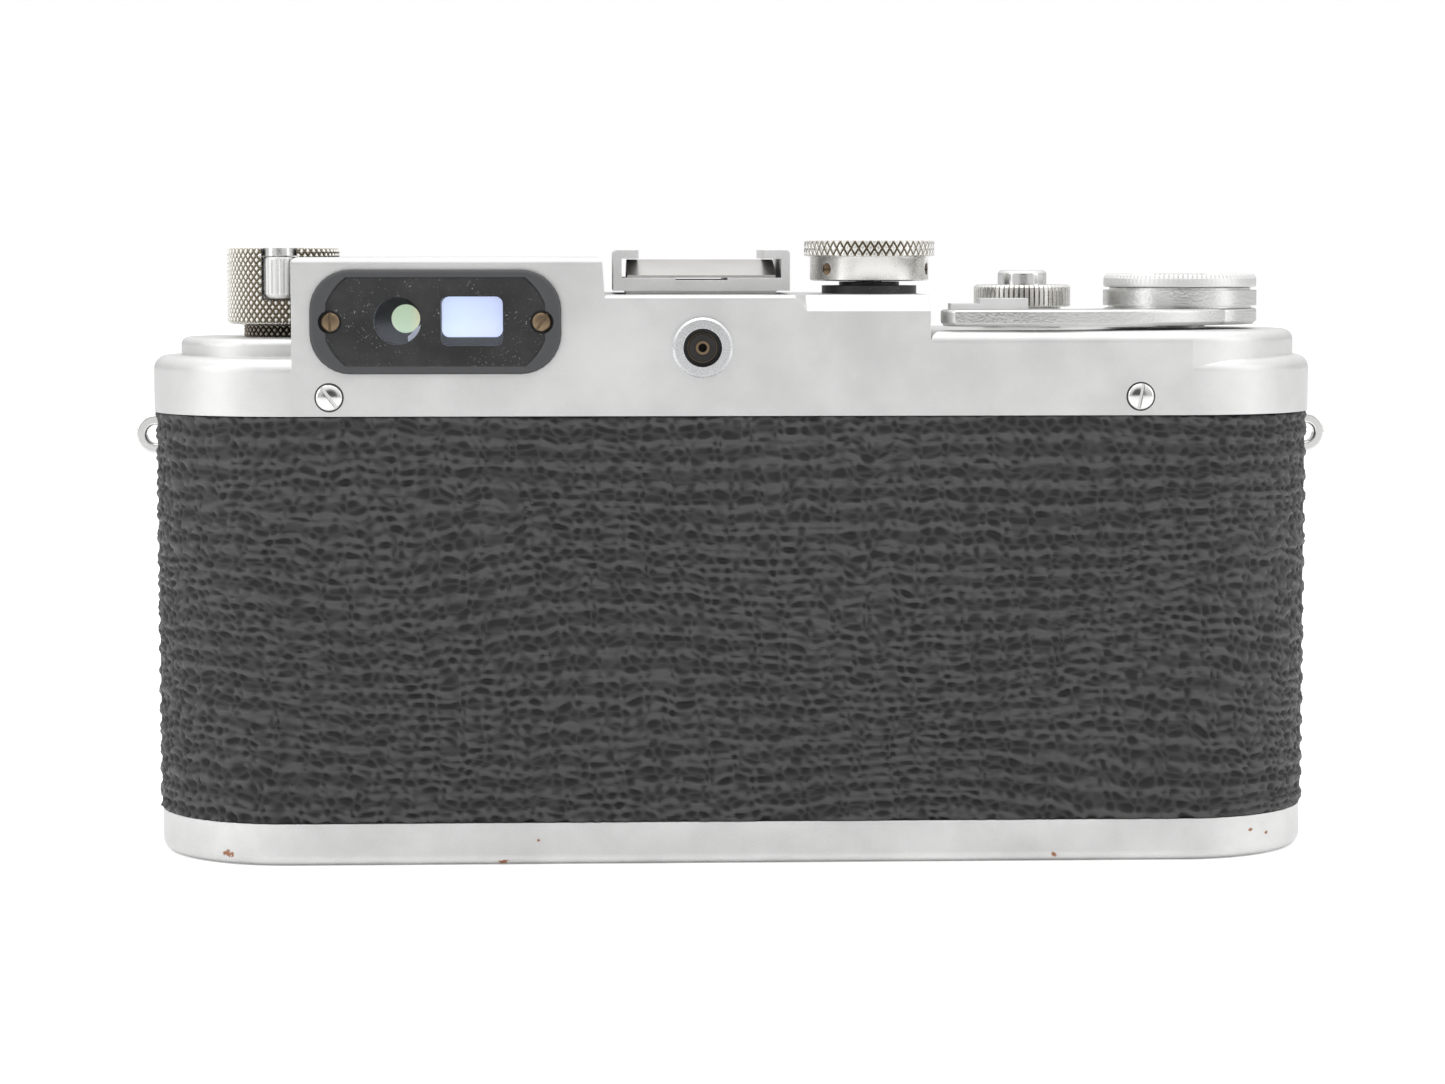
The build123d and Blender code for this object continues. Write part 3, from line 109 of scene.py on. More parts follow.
class Recipe:
    """A Principled material with short calls for the nodes that give it detail."""

    def __init__(self, name, color, metallic=0.0, roughness=0.5, **sockets):
        self.material = bpy.data.materials.new(name)
        self.material.use_nodes = True
        self.tree = self.material.node_tree
        self.nodes, self.links = self.tree.nodes, self.tree.links
        self.shader = self.nodes["Principled BSDF"]
        self.set("Base Color", (*color, 1.0))
        self.set("Metallic", metallic)
        self.set("Roughness", roughness)
        for socket, value in sockets.items():
            self.set(socket.replace("_", " "), value)
        self.place = self.nodes.new("ShaderNodeTexCoord").outputs["Object"]
        self.material.diffuse_color = (*color, 1.0)

    def set(self, socket, value):
        self.shader.inputs[socket].default_value = value

    def feed(self, socket, output):
        self.links.new(output, self.shader.inputs[socket])

    def math(self, operation, *values):
        return math_node(self.tree, operation, *values)

    def vector(self, operation, vector, *constant):
        return vector_node(self.tree, operation, vector, *constant)

    def remap(self, value, *limits):
        return smooth_range(self.tree, value, *limits)

    def noise(self, size, detail, rough, vector=None):
        """Noise whose features are about size metres across."""
        node = self.nodes.new("ShaderNodeTexNoise")
        node.inputs["Scale"].default_value = 1.0 / size
        node.inputs["Detail"].default_value = detail
        node.inputs["Roughness"].default_value = rough
        self.links.new(vector or self.place, node.inputs["Vector"])
        return node.outputs["Fac"]

    def painted_relief(self):
        """The relief kept on the mesh, in mm below the outer surface; 0 where there is none."""
        node = self.nodes.new("ShaderNodeAttribute")
        node.attribute_name = "relief"
        return node.outputs["Fac"]

    def along(self, axis):
        """One of the object coordinates, X, Y or Z."""
        node = self.nodes.new("ShaderNodeSeparateXYZ")
        self.links.new(self.place, node.inputs[0])
        return node.outputs[axis]

    def under(self, socket):
        """What already feeds a socket of the shader."""
        return self.shader.inputs[socket].links[0].from_socket

    def tint(self, share, color):
        """Blend a colour over the base colour."""
        self.feed("Base Color", self.mix(share, self.under("Base Color"), color))

    def mix(self, factor, first, second):
        """Blend two colours; each is a colour or an output."""
        node = self.nodes.new("ShaderNodeMix")
        node.data_type = "RGBA"
        for slot, value in ((0, factor), (6, first), (7, second)):
            if isinstance(value, (int, float)):
                node.inputs[slot].default_value = value
            elif isinstance(value, tuple):
                node.inputs[slot].default_value = (*value, 1.0)
            else:
                self.links.new(value, node.inputs[slot])
        return node.outputs[2]

    def relief(self, height, depth, strength, edge=0.0):
        """Bump of the given depth in metres, on top of rounded edges if a radius is given."""
        bump = self.nodes.new("ShaderNodeBump")
        bump.inputs["Distance"].default_value = depth
        bump.inputs["Strength"].default_value = strength
        self.links.new(height, bump.inputs["Height"])
        if edge:
            rounded = self.nodes.new("ShaderNodeBevel")
            rounded.samples = 6
            rounded.inputs["Radius"].default_value = edge
            self.links.new(rounded.outputs[0], bump.inputs["Normal"])
        self.feed("Normal", bump.outputs[0])


def metal(name, color, roughness, grain=0.12, grain_depth=0.004, edge=0.12, smudge=0.06, brushed=None):
    """Plated or machined metal: fine grain, faint smudges and softened edges, with lengths in mm."""
    recipe = Recipe(name, color, metallic=1.0, roughness=roughness)
    vector = recipe.vector("MULTIPLY", recipe.place, brushed).outputs[0] if brushed else None
    fine = recipe.noise(grain * MM, 4.0, 0.6, vector)
    cloud = recipe.noise(9 * MM, 4.0, 0.6)
    dark = tuple(channel * (1 - 2.2 * smudge) for channel in color)
    tone = recipe.math("ADD", recipe.math("MULTIPLY", fine, 0.35), recipe.math("MULTIPLY", cloud, 0.65))
    recipe.feed("Base Color", recipe.mix(recipe.remap(tone, 0.3, 0.7), dark, color))
    rough = recipe.math("MULTIPLY_ADD", cloud, 2 * smudge, roughness - smudge)
    recipe.feed("Roughness", recipe.math("MULTIPLY_ADD", fine, 0.10, rough))
    recipe.relief(fine, grain_depth * MM, 0.6, edge * MM)
    return recipe


def wear_spots(recipe, spots, under):
    """Chips that show the metal under the plating. Each spot is (x, y, z, width, height) in mm."""
    wobble = recipe.noise(0.9 * MM, 4.0, 0.7)
    wear_and_sheen = 0.0
    for x, y, z, width, height in spots:
        shift = recipe.vector("SUBTRACT", recipe.place, (x * MM, y * MM, z * MM))
        scale = (1 / (width * MM), 1 / (CHIP_REACH * MM), 1 / (height * MM))
        reach = recipe.vector("LENGTH", recipe.vector("MULTIPLY", shift.outputs[0], scale).outputs[0])
        outside = recipe.math("SUBTRACT", reach.outputs["Value"], 1.2)
        ragged = recipe.math("MULTIPLY_ADD", wobble, 2.4, outside)
        chip = recipe.remap(ragged, 0.35, 0.55, 1.0, 0.0)
        wear_and_sheen = recipe.math("MAXIMUM", chip, wear_and_sheen)
    recipe.tint(wear_and_sheen, under)
    recipe.feed("Metallic", recipe.math("SUBTRACT", 1.0, recipe.math("MULTIPLY", wear_and_sheen, 0.6)))


def darker_grooves(recipe, groove_color):
    """A second, darker colour in the grooves of a knurl, with more roughness there."""
    # The darker colour blends in by groove depth: none at 0.05 mm down, fully at 0.20 mm down.
    groove_share = recipe.remap(recipe.painted_relief(), GROOVE_DEEP, GROOVE_SHALLOW, 1.0, 0.0)
    recipe.tint(groove_share, groove_color)
    recipe.feed("Roughness", recipe.math("MULTIPLY_ADD", groove_share, 0.3, recipe.under("Roughness")))


def shaded_across(recipe, axis, low, high, color):
    """Painted light or shade: a second colour that takes over along one axis, between two places in mm."""
    recipe.tint(recipe.remap(recipe.along(axis), low * MM, high * MM), color)


def painted(name, color, roughness, speckle=0.0, grain=0.25, grain_depth=0.01, edge=0.1):
    """Enamel or moulded plastic: a fine orange-peel surface with light dust specks if asked."""
    recipe = Recipe(name, color, roughness=roughness)
    fine = recipe.noise(grain * MM, 5.0, 0.6)
    cloud = recipe.noise(5 * MM, 4.0, 0.6)
    lighter = tuple(min(1.0, channel * 1.8 + 0.008) for channel in color)
    tone = recipe.mix(recipe.remap(cloud, 0.35, 0.75), color, lighter)
    if speckle:
        dust = recipe.remap(recipe.noise(0.22 * MM, 2.0, 0.5), 0.66, 0.72)
        patch = recipe.remap(recipe.noise(3 * MM, 3.0, 0.5), 0.4, 0.65)
        share = recipe.math("MULTIPLY", recipe.math("MULTIPLY", dust, patch), speckle)
        tone = recipe.mix(share, tone, (0.4, 0.4, 0.38))
    recipe.feed("Base Color", tone)
    recipe.feed("Roughness", recipe.math("MULTIPLY_ADD", fine, 0.2, roughness - 0.1))
    recipe.relief(fine, grain_depth * MM, 0.7, edge * MM)
    return recipe


def clear_glass(name, tint, mirror_tint, mirror):
    """Thin glass: what is behind shows through, with a coated reflection that grows towards the edges."""
    recipe = Recipe(name, tint, roughness=0.03)
    through = recipe.nodes.new("ShaderNodeBsdfTransparent")
    through.inputs[0].default_value = (*tint, 1.0)
    gloss = recipe.nodes.new("ShaderNodeBsdfGlossy")
    gloss.inputs["Color"].default_value = (*mirror_tint, 1.0)
    gloss.inputs["Roughness"].default_value = 0.03
    grazing = recipe.nodes.new("ShaderNodeLayerWeight")
    grazing.inputs[0].default_value = 0.35
    smear = recipe.noise(4 * MM, 3.0, 0.6)
    film = recipe.math("MULTIPLY_ADD", smear, 0.5 * mirror, 0.75 * mirror)
    share = recipe.math("MULTIPLY_ADD", grazing.outputs["Fresnel"], 0.6, film)
    blend = recipe.nodes.new("ShaderNodeMixShader")
    recipe.links.new(share, blend.inputs[0])
    recipe.links.new(through.outputs[0], blend.inputs[1])
    recipe.links.new(gloss.outputs[0], blend.inputs[2])
    recipe.links.new(blend.outputs[0], recipe.nodes["Material Output"].inputs["Surface"])
    return recipe


def lit_field(name, color, edge_color, centre, half_width, strength):
    """Light that arrives through the finder: a soft glow that changes tone across the field."""
    recipe = Recipe(name, color, roughness=0.4)
    cloud = recipe.noise(1.6 * MM, 3.0, 0.5)
    ramp = recipe.remap(recipe.along("X"), (centre - half_width) * MM, (centre + half_width) * MM)
    mixed = recipe.math("MULTIPLY_ADD", cloud, 0.35, recipe.math("MULTIPLY", ramp, 0.8))
    tone = recipe.mix(mixed, edge_color, color)
    recipe.feed("Base Color", tone)
    recipe.feed("Emission Color", tone)
    recipe.set("Emission Strength", strength)
    return recipe


satin = metal("satin_chrome", (0.80, 0.80, 0.795), 0.40)
base_satin = metal("worn_satin_chrome", (0.85, 0.85, 0.845), 0.40, smudge=0.08)
wear_spots(
    base_satin,
    ((58.8, 14.6, 1.3, 1.3, 0.7), (27.2, 16.3, 0.4, 1.4, 0.55), (-36.3, 16.3, 0.8, 0.8, 0.5),
     (-59.6, 14.2, 3.2, 0.45, 0.4), (-61.7, 13.2, 2.6, 0.35, 0.35), (23.2, 16.3, 2.9, 0.35, 0.3)),
    (0.36, 0.17, 0.09),
)
mirror = metal(
    "bright_screw_chrome", (0.86, 0.86, 0.85), 0.08, grain=0.3, grain_depth=0.0005, edge=0.02, smudge=0.02,
)
polished = metal("polished_chrome", (0.84, 0.84, 0.83), 0.13, grain=0.3, grain_depth=0.0015, edge=0.06)
knurled = metal(
    "knurled_chrome", (0.84, 0.83, 0.80), 0.22, grain=0.8, grain_depth=0.0004, edge=0.0, smudge=0.02,
)
darker_grooves(knurled, (0.34, 0.30, 0.23))
aged_knurl = metal("aged_knurl", (0.34, 0.30, 0.26), 0.38, grain=0.2, edge=0.03)
darker_grooves(aged_knurl, (0.03, 0.025, 0.02))
grained = metal("grained_chrome", (0.74, 0.74, 0.73), 0.20, grain=0.30, grain_depth=0.05, edge=0.08)
steel = metal("bright_steel", (0.62, 0.61, 0.59), 0.28, brushed=(1.0, 8.0, 8.0), edge=0.05)
alloy = metal("cast_alloy", (0.55, 0.55, 0.54), 0.45, grain=0.5, grain_depth=0.02)
socket_alloy = metal("socket_alloy", (0.86, 0.87, 0.88), 0.22, edge=0.08)
brass = metal("machined_brass", (0.72, 0.53, 0.26), 0.30, brushed=(6.0, 6.0, 1.0), edge=0.05)
aged_brass = metal("aged_brass", (0.30, 0.22, 0.14), 0.32, smudge=0.14, edge=0.03)
black_enamel = painted("black_enamel", (0.020, 0.020, 0.022), 0.42, speckle=0.55)
plate_enamel = painted("eyepiece_plate_enamel", (0.009, 0.009, 0.0095), 0.5, speckle=0.8)
# Painted reflection: the raised rim of the eyepiece plate, past Y 17.15 to 17.55, turns a lighter grey than
# its dished face.
shaded_across(plate_enamel, "Y", 17.15, 17.55, (0.060, 0.061, 0.064))
black_plastic = painted("black_plastic", (0.012, 0.011, 0.010), 0.35)
lens_black = painted("lens_black", (0.008, 0.008, 0.009), 0.5, grain=0.4)
finder_black = painted("finder_black", (0.004, 0.004, 0.004), 0.6)
# Painted light: the finder wells turn lighter grey towards the top, between Z 62.0 and 63.6, as if lit from
# above.
shaded_across(finder_black, "Z", 62.0, 63.6, (0.075, 0.075, 0.072))
# Near-black and rough: painted shadow for the inside of a hole.
hole_shadow_black = painted("socket_hole_shadow", (0.002, 0.002, 0.002), 0.8)
# Black for printed numbers and ticks, and also for the painted shadow in the gaps around the cover screws.
print_and_gap_shadow = painted("print_and_gap_shadow_black", (0.012, 0.012, 0.012), 0.45, grain=0.1, edge=0.0)
cloth = painted("shutter_cloth", (0.010, 0.010, 0.010), 0.8, grain=0.3, grain_depth=0.03)
eyepiece_glass = clear_glass("eyepiece_glass", (0.95, 0.97, 1.0), (0.85, 0.9, 1.0), 0.03)
window_glass = clear_glass("window_glass", (0.50, 0.55, 0.60), (0.75, 0.85, 1.0), 0.07)
lens_glass = clear_glass("coated_lens_glass", (0.72, 0.75, 0.80), (0.36, 0.38, 0.56), 0.02)


def leather_material():
    """Black leatherette: painted shade in the pits, a painted sheen on the ridges, and a fine pebble over
    both.
    """
    recipe = Recipe("black_leatherette", (0.03, 0.03, 0.032), roughness=0.5, Specular_IOR_Level=0.45)
    cloud = recipe.noise(14 * MM, 3.0, 0.5)
    fine = recipe.noise(0.22 * MM, 5.0, 0.65)
    ridge = recipe.remap(recipe.painted_relief(), -0.9 * RIDGE_HEIGHT, 0.0)
    crest = recipe.math("POWER", ridge, 1.5)
    # Painted shade and sheen: the colour goes from near black in the pits to dark grey on the crests, plus a
    # little random tone from the cloud.
    wear_and_sheen = recipe.math("MULTIPLY_ADD", cloud, 0.12, recipe.math("MULTIPLY", crest, 0.95))
    tone = recipe.mix(wear_and_sheen, (0.004, 0.004, 0.004), (0.064, 0.064, 0.066))
    recipe.feed("Base Color", tone)
    recipe.feed("Roughness", recipe.math("MULTIPLY_ADD", ridge, -0.18, 0.58))
    recipe.relief(fine, 0.02 * MM, 0.8)
    return recipe


leather = leather_material()

FINISHES = (
    (satin, ("top_cover", "accessory_shoe", "rewind_sleeve", "release_boss", "lens_mount_ring",
             "window_bezels", "slow_speed_dial", "lever_tip")),
    (grained, ("wind_lever",)),
    (base_satin, ("base_plate",)),
    (polished, ("cover_screws", "strap_lugs", "rewind_crank", "lens_base", "base_lock_key", "tripod_bush",
                "release_button")),
    (steel, ("lever_shaft", "rewind_shaft", "shoe_spring", "release_spring", "chassis_pins",
             "lens_mount_screws", "spring_roller", "rangefinder_arm", "pressure_plate")),
    (aged_brass, ("eyepiece_screws", "dial_set_screws", "flash_socket_contact")),
    (alloy, ("body_shell", "chassis_plate", "shutter_crate", "take_up_spool", "sprocket", "shutter_drum")),
    (socket_alloy, ("flash_socket_ring",)),
    (brass, ("lever_gear", "idler_gear", "sprocket_pinion", "drum_gear")),
    (plate_enamel, ("eyepiece_plate",)),
    (black_enamel, ("speed_dial_base",)),
    (black_plastic, ("flash_socket_insulator",)),
    (lens_black, ("iris_blades",)),
    (cloth, ("shutter_curtains",)),
    (eyepiece_glass, ("viewfinder_eyepiece", "rangefinder_eyepiece")),
    (window_glass, ("front_windows", "rangefinder_prisms")),
    (lens_glass, ("front_element", "rear_element")),
    (leather, ("leather_cover",)),
    (knurled, ("rewind_knob", "crank_handle", "counter_disc", "selector_collar", "speed_dial", "focus_ring",
               "aperture_ring", "lens_barrel")),
)
for recipe, names in FINISHES:
    for name in names:
        NODES[name].data.materials.clear()
        NODES[name].data.materials.append(recipe.material)


# ---------- mesh helpers


def shown(name, data):
    """New object in the scene."""
    thing = bpy.data.objects.new(name, data)
    bpy.context.scene.collection.objects.link(thing)
    return thing


def add_piece(mesh, recipe, body, slot, *replaced):
    """Show a finished mesh under its own name, on its body, in place of the CAD nodes it stands for."""
    piece = shown(mesh.name, mesh)
    mesh.materials.clear()
    mesh.materials.append(recipe.material)
    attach(piece, body)
    if replaced:
        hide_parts(*replaced)
    return piece


def upright(x, y):
    """Matrix that stands a turned piece on a vertical axis; its heights stay as they are."""
    return Matrix.Translation((x * MM, y * MM, 0.0))


def forward(x, z):
    """Matrix that lays a turned piece on an axis towards -Y; its heights become distances forwards."""
    return Matrix(((1, 0, 0, x * MM), (0, 0, -1, 0), (0, 1, 0, z * MM), (0, 0, 0, 1)))


def keep_relief(mesh, values):
    """Store the relief on the mesh, where the materials can read it."""
    mesh.attributes.new("relief", "FLOAT", "POINT").data.foreach_set("value", values.astype(np.float32))


def mesh_of(name, points, faces, matrix=None, relief=None):
    """Mesh from points in mm, with smooth faces that break at sharp edges."""
    mesh = bpy.data.meshes.new(name)
    mesh.from_pydata((np.asarray(points) * MM).tolist(), [], faces)
    if relief is not None:
        keep_relief(mesh, relief)
    tidy = bmesh.new()
    tidy.from_mesh(mesh)
    bmesh.ops.remove_doubles(tidy, verts=tidy.verts, dist=1e-7)
    bmesh.ops.recalc_face_normals(tidy, faces=tidy.faces)
    if matrix:
        tidy.transform(matrix)
    tidy.to_mesh(mesh)
    tidy.free()
    mesh.shade_smooth()
    mesh.set_sharp_from_angle(angle=CREASE)
    return mesh


def band(low, high, count):
    """Faces between two closed loops of points, given the first point of each."""
    faces = []
    for side in range(count):
        after = (side + 1) % count
        faces.append((low + side, low + after, high + after, high + side))
    return faces


def turned(name, rows, sides, matrix, relief=None, closed=True):
    """Solid turned about +Z. A row is (radius, height) or (radius, height, share of the relief)."""
    table = np.array([(*row, 0)[:3] for row in rows], float)
    angles = np.arange(sides) * TURN / sides
    radius = np.repeat(table[:, :1], sides, axis=1)
    depth = np.zeros(radius.shape)
    if relief:
        depth = table[:, 2:3] * relief(angles[None, :], table[:, 1:2])
        radius = radius + depth
    height = np.repeat(table[:, 1:2], sides, axis=1)
    points = np.stack((radius * np.cos(angles), radius * np.sin(angles), height), axis=-1).reshape(-1, 3)
    bands = len(table) if closed else len(table) - 1
    faces = []
    for row in range(bands):
        faces += band(row * sides, (row + 1) % len(table) * sides, sides)
    return mesh_of(name, points, faces, matrix, depth.reshape(-1))


def steps(start, end, size, radius):
    """Rows of a straight band that carries the whole relief, no further apart than the size or so."""
    return [(radius, height, 1) for height in np.linspace(start, end, round((end - start) / size) + 1)]


def wave(value):
    """Triangle wave from 0 at whole numbers to 1 halfway between them."""
    return 1 - np.abs(2 * (value - np.floor(value)) - 1)


def diamonds(count, radius, depth, tall=1.0, steep=1.6):
    """Relief of a diamond knurl with this many points around; tall points are higher than they are wide."""
    def relief(angle, height):
        around, along = count * angle / TURN, count * height / (TURN * radius * tall)
        return depth * (np.minimum(steep * np.minimum(wave(around + along), wave(around - along)), 1.0) - 1.0)
    return relief


def flutes(count, depth, sharpness=2.2):
    """Relief of straight flutes with this many lands around."""
    def relief(angle, height):
        return depth * (np.minimum(sharpness * wave(count * angle / TURN + 0 * height), 1.0) - 1.0)
    return relief


def cut_with(piece, cutters):
    """Take the cutters out of a piece, then discard them."""
    for cutter in cutters:
        modifier = piece.modifiers.new("cut", "BOOLEAN")
        modifier.operation = "DIFFERENCE"
        modifier.solver = "EXACT"
        modifier.object = cutter
    graph = bpy.context.evaluated_depsgraph_get()
    finished = bpy.data.meshes.new_from_object(piece.evaluated_get(graph))
    piece.modifiers.clear()
    piece.data = finished
    for cutter in cutters:
        bpy.data.objects.remove(cutter)
    finished.shade_smooth()
    finished.set_sharp_from_angle(angle=CREASE)


def cutter_box(low, high):
    """Box between two corners, in mm."""
    corners = [(x, y, z) for x in (low[0], high[0]) for y in (low[1], high[1]) for z in (low[2], high[2])]
    sides = ((0, 1, 3, 2), (4, 6, 7, 5), (0, 4, 5, 1), (2, 3, 7, 6), (0, 2, 6, 4), (1, 5, 7, 3))
    return shown("cutter", mesh_of("cutter", corners, sides))


def cutter_rod(start, direction, radius, length):
    """Round bar from a point, in mm."""
    turn = Vector(direction).to_track_quat("Z", "Y").to_matrix().to_4x4()
    rows = [(0, 0), (radius, 0), (radius, length), (0, length)]
    matrix = Matrix.Translation(Vector(start) * MM) @ turn
    return shown("cutter", turned("cutter", rows, 32, matrix, closed=False))


# ---------- leather

LEATHER_HALF_FLAT = 51.5
LEATHER_RADIUS = 16.5
LEATHER_BOTTOM, LEATHER_TOP = 5.0, 51.5
LEATHER_STEP = 0.25
CREST, LIP = 0.12, -0.55
RIDGE_SPACING, RIDGE_WIDTH = 2.5, 1.15
LENS_X, LENS_Z, LENS_HOLE = 4.2, 28.5, 22.3
SLOW_X, SLOW_Z, SLOW_HOLE = -34.0, 33.0, 7.05
LUG_HALF_WIDTH, LUG_LOW, LUG_HIGH = 0.85, 46.6, 51.0


def ridges(along, up, perimeter, cell_width, cell_height, thickness, seed):
    """Raised net between jittered cells that closes around the body, from 0 in a pit to 1 on a ridge."""
    columns = round(perimeter / cell_width)
    width = perimeter / columns
    lines = int(60 / cell_height) + 6
    jitter = np.random.default_rng(seed).uniform(-0.42, 0.42, (lines, columns, 2))
    line, column = np.floor(up / cell_height).astype(int), np.floor(along / width).astype(int)
    nearest = np.full(along.shape, 9.0)
    second = np.full(along.shape, 9.0)
    for line_step in (-2, -1, 0, 1, 2):
        for column_step in (-2, -1, 0, 1, 2):
            at_line, at_column = line + line_step, column + column_step
            shift = jitter[at_line % lines, at_column % columns]
            across = at_column + 0.5 + 0.5 * (at_line % 2) + shift[..., 0] - along / width
            above = at_line + 0.5 + shift[..., 1] - up / cell_height
            reach = np.hypot(across, above)
            second = np.minimum(second, np.maximum(nearest, reach))
            nearest = np.minimum(nearest, reach)
    gap = np.clip((second - nearest) / thickness, 0, 1)
    return 1 - gap * gap * (3 - 2 * gap)


def wander(turn, height, waves, tallest, seed):
    """Smooth random field around the body, with a spread of about 1; waves are counted around the body."""
    draw = np.random.default_rng(seed)
    field = np.zeros(turn.shape)
    count = 26
    for _ in range(count):
        around = draw.integers(*waves)
        up = draw.uniform(-TURN / tallest, TURN / tallest)
        field += np.cos(around * turn + up * height + draw.uniform(0, TURN))
    return field * math.sqrt(2 / count)


def long_ridges(height, drift):
    """Ridges that run around the body, moved up and down by the drift; 1 on a crest and 0 between them."""
    rise = np.clip((wave((height + drift) / RIDGE_SPACING) - 1) * RIDGE_SPACING / RIDGE_WIDTH + 1, 0, 1)
    return rise * rise * (3 - 2 * rise)


def leather_outline(along):
    """Point and outward direction on the middle line of the leather, as the distance runs around the body."""
    flat, arc = 2 * LEATHER_HALF_FLAT, math.pi * LEATHER_RADIUS
    on_flat = (along < flat) | ((along >= flat + arc) & (along < 2 * flat + arc))
    rear = along < flat + arc
    run = np.where(rear, along, along - flat - arc)
    side = np.where(rear, 1.0, -1.0)
    turn = np.clip((run - flat) / LEATHER_RADIUS, 0, math.pi)
    centre = side * np.where(on_flat, LEATHER_HALF_FLAT - run, -LEATHER_HALF_FLAT)
    return centre, side * -np.sin(turn), side * np.cos(turn)


def leather_mesh():
    """Leatherette with its ridges raised in the mesh, open around the lens, the slow dial and the lugs."""
    perimeter = 4 * LEATHER_HALF_FLAT + TURN * LEATHER_RADIUS
    columns = round(perimeter / LEATHER_STEP)
    lines = round((LEATHER_TOP - LEATHER_BOTTOM) / LEATHER_STEP) + 1
    along = np.tile(np.arange(columns) * perimeter / columns, (lines, 1))
    height = np.repeat(np.linspace(LEATHER_BOTTOM, LEATHER_TOP, lines)[:, None], columns, axis=1)
    turn = TURN * along / perimeter
    sweep = wander(turn, height, (2, 9), 36, SEED)
    first = 0.8 * sweep + 0.17 * wander(turn, height, (24, 64), 7, SEED + 1)
    other = 0.4 * sweep - 0.8 * wander(turn, height, (2, 9), 30, SEED + 2)
    other += 0.17 * wander(turn, height, (24, 64), 7, SEED + 3)
    net = np.maximum(long_ridges(height, first), 0.9 * long_ridges(height, other))
    net *= 1 - 0.35 * np.clip(wander(turn, height, (40, 110), 5, SEED + 4), 0, 1.6)
    shifted = np.mod(along + 0.22 * wander(turn, height, (50, 120), 4, SEED + 5), perimeter)
    cells = ridges(shifted, height + first + 8, perimeter, 1.5, 0.95, 0.85, SEED + 6)
    relief = np.clip(0.50 * net + 0.58 * cells, 0, 1) - 1
    radius = LEATHER_RADIUS + CREST + RIDGE_HEIGHT * relief
    centre, out_x, out_y = leather_outline(along)
    x, y = centre + radius * out_x, radius * out_y
    front = y < 0
    keep = np.ones(x.shape, bool)
    for hole_x, hole_z, hole_radius in ((LENS_X, LENS_Z, LENS_HOLE), (SLOW_X, SLOW_Z, SLOW_HOLE)):
        reach = np.hypot(x - hole_x, height - hole_z)
        inside = front & (reach < hole_radius)
        keep &= ~inside
        share = np.where(inside, hole_radius / np.maximum(reach, 0.01), 1.0)
        x, height = hole_x + (x - hole_x) * share, hole_z + (height - hole_z) * share
    keep &= ~((np.abs(y) < LUG_HALF_WIDTH) & (height > LUG_LOW) & (height < LUG_HIGH))
    outer = np.stack((x, y, height), axis=-1).reshape(-1, 3)
    inner_radius = LEATHER_RADIUS + LIP
    lips = []
    for line in (0, -1):
        lip_x = centre[line] + inner_radius * out_x[line]
        lips.append(np.stack((lip_x, inner_radius * out_y[line], height[line]), axis=-1))
    points = np.concatenate((outer, *lips))
    kept = keep.reshape(-1)
    faces = []
    for line in range(lines - 1):
        for column in range(columns):
            after = (column + 1) % columns
            low, high = line * columns, (line + 1) * columns
            corners = (low + after, low + column, high + column, high + after)
            if any(kept[corner] for corner in corners):
                faces.append(corners)
    top, bottom_lip, top_lip = (lines - 1) * columns, lines * columns, (lines + 1) * columns
    faces += band(0, bottom_lip, columns) + band(top_lip, top, columns)
    mesh = bpy.data.meshes.new("leatherette")
    mesh.from_pydata((points * MM).tolist(), [], faces)
    mesh.shade_smooth()
    keep_relief(mesh, RIDGE_HEIGHT * np.concatenate((relief.reshape(-1), np.full(2 * columns, -0.7))))
    return mesh


def without_loose_points(mesh):
    """Drop the points that no face uses."""
    tidy = bmesh.new()
    tidy.from_mesh(mesh)
    bmesh.ops.delete(tidy, geom=[point for point in tidy.verts if not point.link_faces], context="VERTS")
    tidy.to_mesh(mesh)
    tidy.free()
    return mesh


add_piece(without_loose_points(leather_mesh()), leather, "camera_body", "leatherette", "leather_cover")

# ---------- rewind knob and its handle

REWIND_X, HANDLE_Y = 53.0, 5.0
KNOB_POINTS, KNOB_RADIUS = 52, 6.55
KNOB_BOTTOM, KNOB_TOP = 61.75, 70.6
SLOT_HALF_WIDTH, SLOT_HALF_LENGTH, SLOT_FLOOR = 2.07, 12.0, 69.6
POCKET_START, POCKET_END, POCKET_FLOOR = 2.9, 12.9, 64.6
SHAFT_BORE, SHAFT_START, SHAFT_END = 2.0, 55.0, 64.35
HINGE_Y, HINGE_Z, HINGE_BORE, HINGE_REACH = -5.0, 70.2, 0.3, 3.4
SLEEVE_POINTS, SLEEVE_RADIUS = 40, 4.68
ABOVE = 75.0

